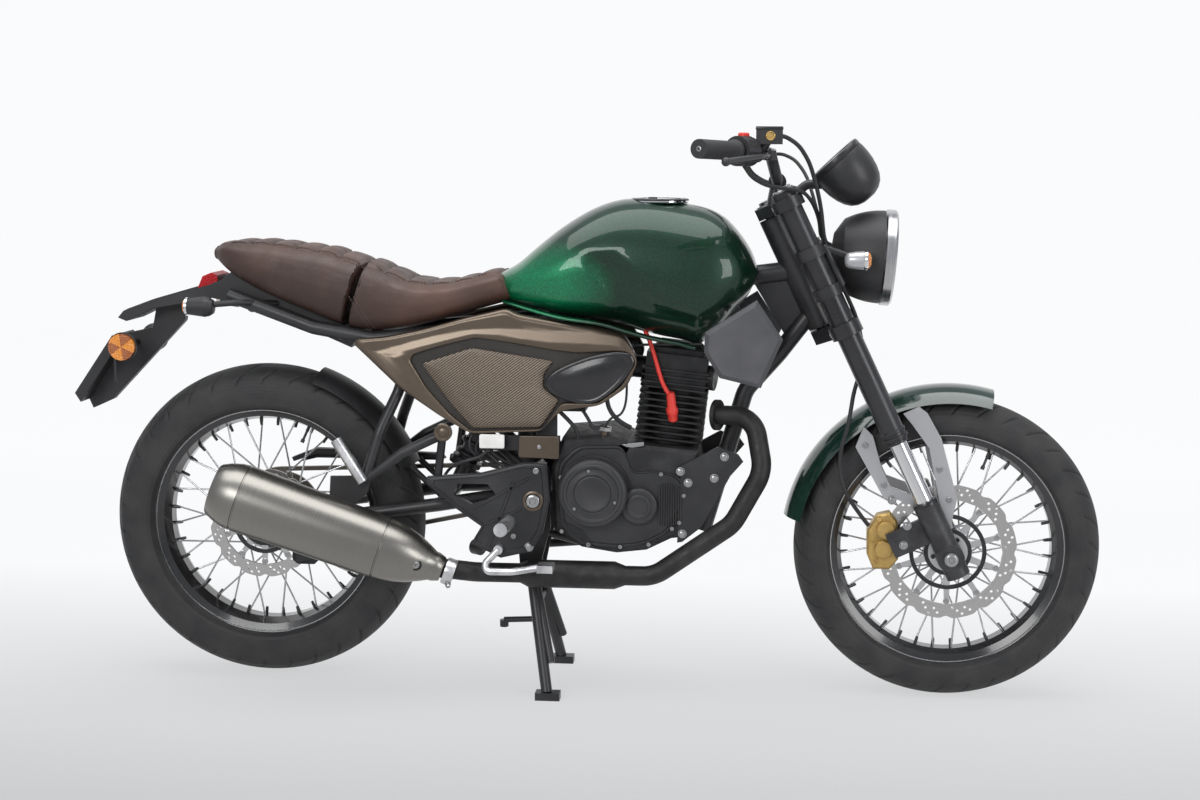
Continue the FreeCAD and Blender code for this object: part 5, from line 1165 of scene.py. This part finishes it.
def fork_bolts():
    bolts("front_axle_bolts", flank_bolts([(715.5, 296)], -130.2, 10.5, 3.5)
          + flank_bolts([(715.5, 296)], 130.2, 9.5, 6, "hex")
          + flank_bolts(FENDER_BOLTS + [(552, 503)], -70.5, 5.8, 3) + flank_bolts([(605, 398)], -70.5, 6.5, 5, "hex")
          + flank_bolts(FENDER_BOLTS, 70.5, 5.8, 3)
          + flank_bolts([(634, 352), (628, 314)], -89.5, 6.2, 5, "hex"), fastener, "steering")
    bolts("caliper_bolts", flank_bolts([(582, 360)], -73.8, 5.5, 5, "hex")
          + flank_bolts([(570, 318), (578, 278)], -73.8, 4.5, 4), gold, "steering")
    made = bmesh.new()
    for x, height in ((594, 340), (591, 302)):
        add_turned(made, [(17.2, -1), (17.2, 1.2), (16, 2.6), (12.5, 3), (0, 3.2)], at(x, -79.2, height), RIGHT, 40)
    finish_mesh("caliper_caps", made, gold, "steering")


def bracket_dress():
    """Bolts, bosses, raised edge and crossing ribs on the footrest castings."""
    screws = []
    for y in (-138.2, 138.2):
        screws += flank_bolts([(-82.5, 394)], y, 12.5, 5) + flank_bolts([(-90, 304)], y, 6.5, 5, "hex")
    screws += flank_bolts([(-120, 325)], -138.2, 5.5, 4) + flank_bolts([(-76.5, 453)], -138.2, 6, 4)
    bolts("bracket_bolts", screws, fastener)
    turned("bracket_boss", [(19, -2), (20, 1), (18, 2.5), (14.5, 2.5), (13.5, 1), (13.5, -2)],
           at(-82.5, -138.2, 394), RIGHT, bronze, 40)
    for side, label in SIDES:
        turned("peg_boss_" + label, [
            (0, -12), (16, -12), (17.5, -10), (17.5, 0), (16, 1.5), (12.5, 1.5), (11.5, 0), (8.5, 0), (8, 1.2),
            (5.5, 2.2), (0, 2.4)], at(-257, side * 138.5, 523.5), (0, side, 0), bronze, 40)
    made = bmesh.new()
    outer = rounded(BRACKET_EDGE, 8, 3)
    inner = rounded(toward_middle(BRACKET_EDGE, 0.9), 6, 3)
    for side, _ in SIDES:
        lofted(made, [level_ring(between(outer, inner, share), y, side) for share, y in
                      ((0, 137.5), (0, 139.8), (0.25, 140.5), (0.8, 140.5), (1, 137.5))])
        for ax, az, bx, bz in BRACKET_RIBS:
            aside = Vector((az - bz, 0, bx - ax)).normalized() * 0.0032
            a, b = Vector((ax, side * 0.137, az)), Vector((bx, side * 0.137, bz))
            lift = at(0, side * 3.2, 0)
            foot = [made.verts.new(p) for p in (a - aside, b - aside, b + aside, a + aside)]
            top = [made.verts.new(p + lift) for p in (a - aside * 0.6, b - aside * 0.6, b + aside * 0.6,
                                                      a + aside * 0.6)]
            made.faces.new(top)
            for k in range(4):
                made.faces.new((foot[k], foot[(k + 1) % 4], top[(k + 1) % 4], top[k]))
    finish_mesh("bracket_ribs", made, satin_black, angle=35)


fork_bolts()
bracket_dress()


# Steering head, bars and their controls

GRIP_END = at(238, 368, 1066)
GRIP_RUN = (at(360, 150, 1059) - GRIP_END).normalized()
BAR_SWEEP = math.radians(29)
GRIP_RIBS = 15
GRIP_RIB_PITCH = 6.6
SWITCH_ALONG = 0.147
PERCH_ALONG = 0.188


def on_grip(along, side):
    """Place on the bar's centre line, in metres from the grip's end."""
    spot = GRIP_END + GRIP_RUN * along
    return Vector((spot.x, side * spot.y, spot.z))


def grip_dress():
    """Ribbed rubber sleeves with a flange inside and a weight at the bar's end."""
    profile = [(12.5, -2), (16.5, -1), (17.2, 2), (17.2, 6)]
    for k in range(GRIP_RIBS):
        along = 8 + GRIP_RIB_PITCH * k
        profile += [(16.7, along), (17.1, along + 1), (17.1, along + 4.5), (16.7, along + 5.5)]
    profile += [(16.8, 110), (19.5, 115), (20.5, 119), (19.5, 122.5), (16.8, 124)]
    for side, label in SIDES:
        start = on_grip(-0.001, side)
        heading = Vector((GRIP_RUN.x, side * GRIP_RUN.y, GRIP_RUN.z))
        turned("grip_sleeve_" + label, profile, start, heading, soft_rubber, 32, "steering")
        turned("bar_weight_" + label, [
            (0, -3.5), (4, -3.5), (4.5, -2), (11.5, -2), (13.5, -1), (13.8, 4), (12, 6)], start, heading, anodised,
            32, "steering")
        bolts("bar_end_screw_" + label, [(start + heading * -0.0022, -heading, 4.8, 1.6)], fastener, "steering")


def rounded_block(name, centre, size, finish, turn, round_edge, segments=3):
    """Small moulded block with rounded edges, turned in place."""
    made = bmesh.new()
    slab(made, centre, size, turn)
    bmesh.ops.recalc_face_normals(made, faces=made.faces)
    bmesh.ops.bevel(made, geom=made.edges[:], offset=round_edge / 1000, segments=segments, affect="EDGES",
                    profile=0.5)
    finish_mesh(name, made, finish, "steering", 35)


def bar_controls():
    """Switches, start button, reservoir lid and sight glass, with their screws."""
    right_turn = Matrix.Rotation(-BAR_SWEEP, 3, "Z")
    switch = on_grip(SWITCH_ALONG, -1)
    rounded_block("stop_switch", switch + at(2, 0, 27.5), at(13, 24, 12), red_silicone, right_turn, 3.5, 4)
    rounded_block("stop_switch_bed", switch + at(1, 0, 22), at(20, 34, 10), black_plastic, right_turn, 3)
    rounded_block("start_button", switch + at(-24, -2, 8), at(8, 14, 12), matt_grey, right_turn, 2.5)
    rounded_block("left_switch", on_grip(SWITCH_ALONG, 1) + at(-22, 2, 10), at(12, 20, 10), matt_grey,
                  Matrix.Rotation(BAR_SWEEP, 3, "Z"), 2.5)
    perch = on_grip(PERCH_ALONG, -1)
    rounded_block("reservoir_lid", perch + at(28, 1, 42.5), at(50, 48, 5), anodised, Matrix.Identity(3), 1.2, 2)
    bolts("reservoir_screws", [(perch + at(28 + x, 1 + y, 43.8), UP, 2.8, 1.8) for y in (-19, 19) for x in (-20, 20)],
          fastener, "steering")
    turned("sight_glass", [(8.5, -1), (8.5, 1.2), (7.2, 1.8), (6.2, 1.2), (6, 0.2), (0, 0.2)],
           perch + at(30, -22.2, 29), RIGHT, gold, 28, "steering")
    bolts("control_bolts", [(on_grip(PERCH_ALONG, side) + at(18, 0, 0), (1, 0, 0.1), 4, 4) for side, _ in SIDES]
          + [(on_grip(0.196, side) + at(30, 0, 3.5), UP, 5.5, 3, "hex") for side, _ in SIDES], fastener, "steering")


def steering_head():
    """Fork caps, the stem nut, bar clamp screws and the pinch bolts of both clamps; collars on the legs."""
    made = bmesh.new()
    for side, _ in SIDES:
        add_turned(made, [(19.5, -1), (19.5, 3), (18, 4.5), (13, 4.5), (12, 3), (0, 3)],
                   fork_point(0, side * FORK_HALF, 766), FORK_UP, 36)
        add_bolt(made, fork_point(0, side * FORK_HALF, 769), FORK_UP, 8.5, 6, "hex")
    add_bolt(made, fork_point(-38, 0, 753), FORK_UP, 15.5, 9, "hex")
    for side, _ in SIDES:
        for up in (742, 481):
            add_bolt(made, fork_point(-26, side * (FORK_HALF - 6), up), -FORK_AHEAD, 5, 6)
    finish_mesh("fork_caps", made, fastener, "steering")
    made = bmesh.new()
    for side, _ in SIDES:
        for profile, level in (([(22.8, 0), (25.3, 1), (25.7, 6), (22.8, 7.5)], 250),
                               ([(22.8, 0), (25, 1), (25.4, 6), (22.8, 7.5)], 262),
                               ([(17.8, 0), (20.5, 0.5), (21.2, 4), (20, 7), (17.8, 7.5)], 240.5),
                               ([(17.8, 7.5), (23.5, 7), (25.2, 4), (25.2, 0)], 110.5)):
            add_turned(made, profile, fork_point(0, side * FORK_HALF, level), FORK_UP, 40)
    finish_mesh("fork_collars", made, anodised, "steering")


grip_dress()
bar_controls()
steering_head()


# Lamps and meter

LAMP = at(601, 0, 859)
LAMP_AHEAD = swung(math.radians(-3.8), 1)
METER = at(481.5, 0, 1051)
METER_UP = swung(math.radians(90 + 43), 1)
MARKS = 25
DIAL_SWEEP = 260


def headlight():
    made = turned("headlight_glass", [
        (80.5, -9), (79.5, -6.5), (70, -3), (55, 0.5), (36, 3), (18, 4.2), (0, 4.6), (0, 1.6), (36, 0.2), (55, -2.4),
        (76.5, -9.2)], LAMP, LAMP_AHEAD, glass, 72, "steering")
    replaced(made, "headlight_lens")
    turned("headlight_reflector", [
        (80.3, -9.5), (78.5, -9.5), (73.5, -12.5), (65.5, -16), (50, -19.5), (30, -21.8), (12, -22.6), (0, -22.6)],
        LAMP, LAMP_AHEAD, bright_chrome, 72, "steering")
    turned("headlight_bulb", [(0, -22.2), (13, -22.2), (13, -19), (10.5, -16.5), (10.5, -9.2), (6, -6.8), (0, -6.2)],
           LAMP, LAMP_AHEAD, silver_paint, 32, "steering")
    made = bmesh.new()
    slab(made, LAMP + at(-17.5, 0, 0), at(6, 152, 2.8))
    finish_mesh("headlight_bar", made, anodised, "steering")


def meter():
    """Round meter with plain tick marks and a needle on its dial, no figures."""
    made = turned("meter_body", [
        (0, -104.5), (14, -104), (26.5, -100), (37, -92.5), (45.2, -81), (51, -66.5), (54.8, -50), (56.3, -34),
        (56.3, -20), (55.2, -12.5), (53.5, -11.5), (53.5, -9)], METER, METER_UP, meter_black, 80, "steering")
    replaced(made, "instrument")
    turned("meter_rim", [(53.5, -12.5), (55.3, -11), (55.6, -5), (54, -0.8), (51.5, 0), (48.5, -1.2), (47.8, -4.2)],
           METER, METER_UP, anodised, 80, "steering")
    turned("meter_face", [(47.8, -4.6), (47.4, -5.8), (0, -5.8)], METER, METER_UP, gloss_black, 64, "steering")
    turned("meter_glass", [(0, -0.8), (30, -1.4), (47.7, -2.8), (47.7, -3.6), (30, -2.6), (0, -2)], METER, METER_UP,
           glass, 64, "steering")
    made = bmesh.new()
    dial = facing(METER_UP).to_3x3()

    def mark(angle, reach, height, width, length):
        turn = dial @ Matrix.Rotation(math.radians(angle), 3, "Z")
        slab(made, METER + turn @ at(0, reach, height), at(width, length, 0.4), turn)

    for k in range(MARKS):
        width, length = (0.8, 4) if k % 4 else (1.2, 8)
        mark(DIAL_SWEEP * (k / (MARKS - 1) - 0.5), 41 - length / 2, -5.4, width, length)
    mark(-128, 15, -4.8, 1.6, 38)
    finish_mesh("meter_marks", made, white_plastic, "steering")


def front_indicators():
    """Grey bullets on short stalks beside the headlight, their lenses to the front."""
    for side, label in SIDES:
        start, ahead = at(506, side * 118, 861), (1, 0, 0)
        hose("indicator_stalk_" + label, [(530, side * 82, 861), (527, side * 96, 861), (525, side * 112, 861)],
             5.5, satin_black, "steering")
        turned("indicator_" + label, [(0, -4), (6, -3.5), (11.5, -1), (14.5, 5), (16.5, 15), (17.5, 30), (17.5, 34)],
               start, ahead, silver_paint, 40, "steering")
        turned("indicator_rim_" + label, [(17.4, 32), (19, 34), (19, 38), (17.5, 39.5), (16.5, 38.5)], start, ahead,
               bright_chrome, 40, "steering")
        turned("indicator_lens_" + label, [(16.6, 38), (14.5, 42.5), (9, 45.5), (0, 46.5)], start, ahead,
               amber_plain, 40, "steering")


def tail():
    """Rear indicators, cups behind the side reflectors, ribs and spine of the number bracket."""
    for side, label in SIDES:
        lamp, back = at(-730, side * 112, 758), (-1, 0, 0)
        turned("rear_indicator_rim_" + label, [(15.8, 28), (17.8, 28.5), (17.8, 33), (16, 34.5), (14.5, 33.5)],
               lamp, back, bright_chrome, 40)
        turned("rear_indicator_lens_" + label, [(14.8, 33), (12.5, 37.5), (7, 39.8), (0, 40.5)], lamp, back,
               amber_plain, 40)
        turned("rear_indicator_nose_" + label, [(0, -22.5), (6, -22.2), (12.8, -21), (13.5, -20.5)], lamp, back,
               black_plastic, 40)
        turned("reflector_cup_" + label, [
            (0, -19), (10, -18.8), (19, -16), (26.2, -9.5), (28.2, -4), (28.4, 0.2), (27.2, 1.2), (25.8, 0)],
            Vector((REFLECTOR.x, side * REFLECTOR.y, REFLECTOR.z)), (0, side, 0), black_plastic)
    made = bmesh.new()
    for side, _ in SIDES:
        slab(made, at(-927.5, side * 60, 630), at(5, 3, 60))
    finish_mesh("plate_ribs", made, black_plastic)
    plate("tail_spine", rounded([
        (-915, 734.5), (-852, 757.5), (-770, 781), (-735, 791.5), (-735, 799.5), (-772, 789.5), (-854, 765.5),
        (-913, 743.5)], 4), -34, 34, black_plastic, 3, 3)


headlight()
meter()
front_indicators()
tail()


# Fuel cap: ring of screws and lock on the lid; neck and well under it, the well's near-black floor painted shade

CAP = Vector((FILLER_X, 0, 0.9623))


def filler():
    turned("filler_neck", [(46, -6), (46, -1.2), (44, -0.6), (31, -0.6), (29, -1.8), (28.5, -6)], CAP, UP,
           anodised, 64)
    # The near-black floor of the well is painted shade.
    turned("filler_well", [(28.5, -5.5), (27, -15), (0, -15.5)], CAP, UP, painted_shade_black)
    turned("cap_ring", [(53.5, 3.5), (56.2, 4.2), (56.2, 6.6), (54.5, 7.8), (47, 8.4), (45.5, 7.6)], CAP, UP,
           anodised, 64, "fuel_cap")
    turned("cap_lock", [(0, 10.5), (8, 10.5), (9, 9.8), (9, 7.5)], CAP + at(-14, 0, 0), UP, anodised, 28, "fuel_cap")
    screws = [(Matrix.Rotation(math.radians(a), 3, "Z") @ at(50.5, 0, 7.4) + CAP, UP, 2.6, 1.4)
              for a in range(25, 360, 51)]
    bolts("cap_screws", screws, fastener, "fuel_cap")


filler()


# Stage, lights and camera

FLOOR_HALF = 16.0
FLOOR_BACK = 6.2
WALL_CURVE = 1.6
WALL_TOP = 9.0

# Camera fitted to the photograph: place, turn about the vertical, tilt and roll
CAMERA_PLACE = Vector((0.34756, -3.54999, 1.06692))
CAMERA_YAW = math.radians(5.05)
CAMERA_PITCH = math.radians(7.89)
CAMERA_ROLL = math.radians(0.28)
FOCAL_PIXELS = 1819.88
PICTURE_WIDTH = 1200
SENSOR = 36.0


def stage():
    """A pale floor that curves up into a wall behind, lit a little by itself where it is seen; the glow is painted
    dimmer toward the front, a painted shade.
    """
    made = bmesh.new()
    depth = [(-FLOOR_HALF, 0.0), (FLOOR_BACK, 0.0)]
    depth += [(FLOOR_BACK + WALL_CURVE * math.sin(math.radians(a)), WALL_CURVE - WALL_CURVE * math.cos(math.radians(a)))
              for a in range(6, 91, 6)]
    depth.append((FLOOR_BACK + WALL_CURVE, WALL_TOP))
    rows = [[made.verts.new((x, y, height)) for y, height in depth] for x in (-FLOOR_HALF, FLOOR_HALF)]
    for k in range(len(depth) - 1):
        made.faces.new((rows[0][k], rows[1][k], rows[1][k + 1], rows[0][k + 1]))
    mesh = bpy.data.meshes.new("floor")
    made.to_mesh(mesh)
    made.free()
    mesh.shade_smooth()
    floor = bpy.data.objects.new("floor", mesh)
    bpy.context.scene.collection.objects.link(floor)
    paper = Finish("pale_floor", (0.8, 0.8, 0.81), 0.9)
    paper.paint(paper.noise(1.5, 2), 0.3, 0.7, (0.79, 0.79, 0.8), (0.81, 0.81, 0.82))
    depth_y = paper.axes()["Y"]
    # The glow is dimmer toward the front of the floor: painted shade.
    glow_with_painted_shade = paper.add("Emission", {"Color": (0.985, 0.99, 1.0, 1),
                                  "Strength": paper.ranged(depth_y, -0.75, 0.9, 0.52, 1.0)})
    ray = paper.add("LightPath").outputs
    seen = paper.calc("MAXIMUM", ray["Is Camera Ray"], ray["Is Glossy Ray"])
    seen = paper.calc("MAXIMUM", seen, ray["Is Transmission Ray"])
    share = paper.calc("MULTIPLY", seen, paper.ranged(depth_y, 0.2, 2.6, 0.8, 0.95))
    mix = paper.add("MixShader", {0: share, 1: paper.shader.outputs[0], 2: glow_with_painted_shade.outputs[0]})
    paper.feed(paper.nodes["Material Output"], {"Surface": mix.outputs[0]})
    mesh.materials.append(paper.material)


def softbox(name, spot, aim, width, height, power):
    """Rectangular area lamp pointed at a spot."""
    lamp = bpy.data.lights.new(name, "AREA")
    lamp.shape = "RECTANGLE"
    lamp.size = width
    lamp.size_y = height
    lamp.energy = power
    made = bpy.data.objects.new(name, lamp)
    made.location = spot
    made.rotation_euler = (Vector(aim) - Vector(spot)).to_track_quat("-Z", "Y").to_euler()
    bpy.context.scene.collection.objects.link(made)


def lights():
    softbox("top_box", (0.0, -0.3, 3.4), (0, 0, 0.4), 4.2, 2.4, 96)
    softbox("front_box", (-1.6, -4.2, 2.4), (0, 0, 0.5), 2.2, 1.6, 72)
    softbox("side_box", (3.2, -2.6, 1.6), (0.2, 0, 0.6), 1.2, 2.0, 40)
    world = bpy.data.worlds.new("studio")
    world.use_nodes = True
    sky = world.node_tree.nodes["Background"]
    sky.inputs["Color"].default_value = (0.9, 0.93, 1.0, 1)
    sky.inputs["Strength"].default_value = 0.5
    bpy.context.scene.world = world


def camera():
    lens = bpy.data.cameras.new("camera")
    lens.sensor_width = SENSOR
    lens.lens = FOCAL_PIXELS / PICTURE_WIDTH * SENSOR
    made = bpy.data.objects.new("camera", lens)
    bpy.context.scene.collection.objects.link(made)
    ahead = Vector((-math.sin(CAMERA_YAW) * math.cos(CAMERA_PITCH),
                    math.cos(CAMERA_YAW) * math.cos(CAMERA_PITCH), -math.sin(CAMERA_PITCH)))
    right = Vector((math.cos(CAMERA_YAW), math.sin(CAMERA_YAW), 0))
    up = right.cross(ahead)
    turned_right = right * math.cos(CAMERA_ROLL) + up * math.sin(CAMERA_ROLL)
    turned_up = up * math.cos(CAMERA_ROLL) - right * math.sin(CAMERA_ROLL)
    turn = Matrix((turned_right, turned_up, -ahead)).transposed().to_4x4()
    made.matrix_world = Matrix.Translation(CAMERA_PLACE) @ turn
    bpy.context.scene.camera = made


stage()
lights()
camera()
bpy.context.scene.view_settings.view_transform = "Standard"
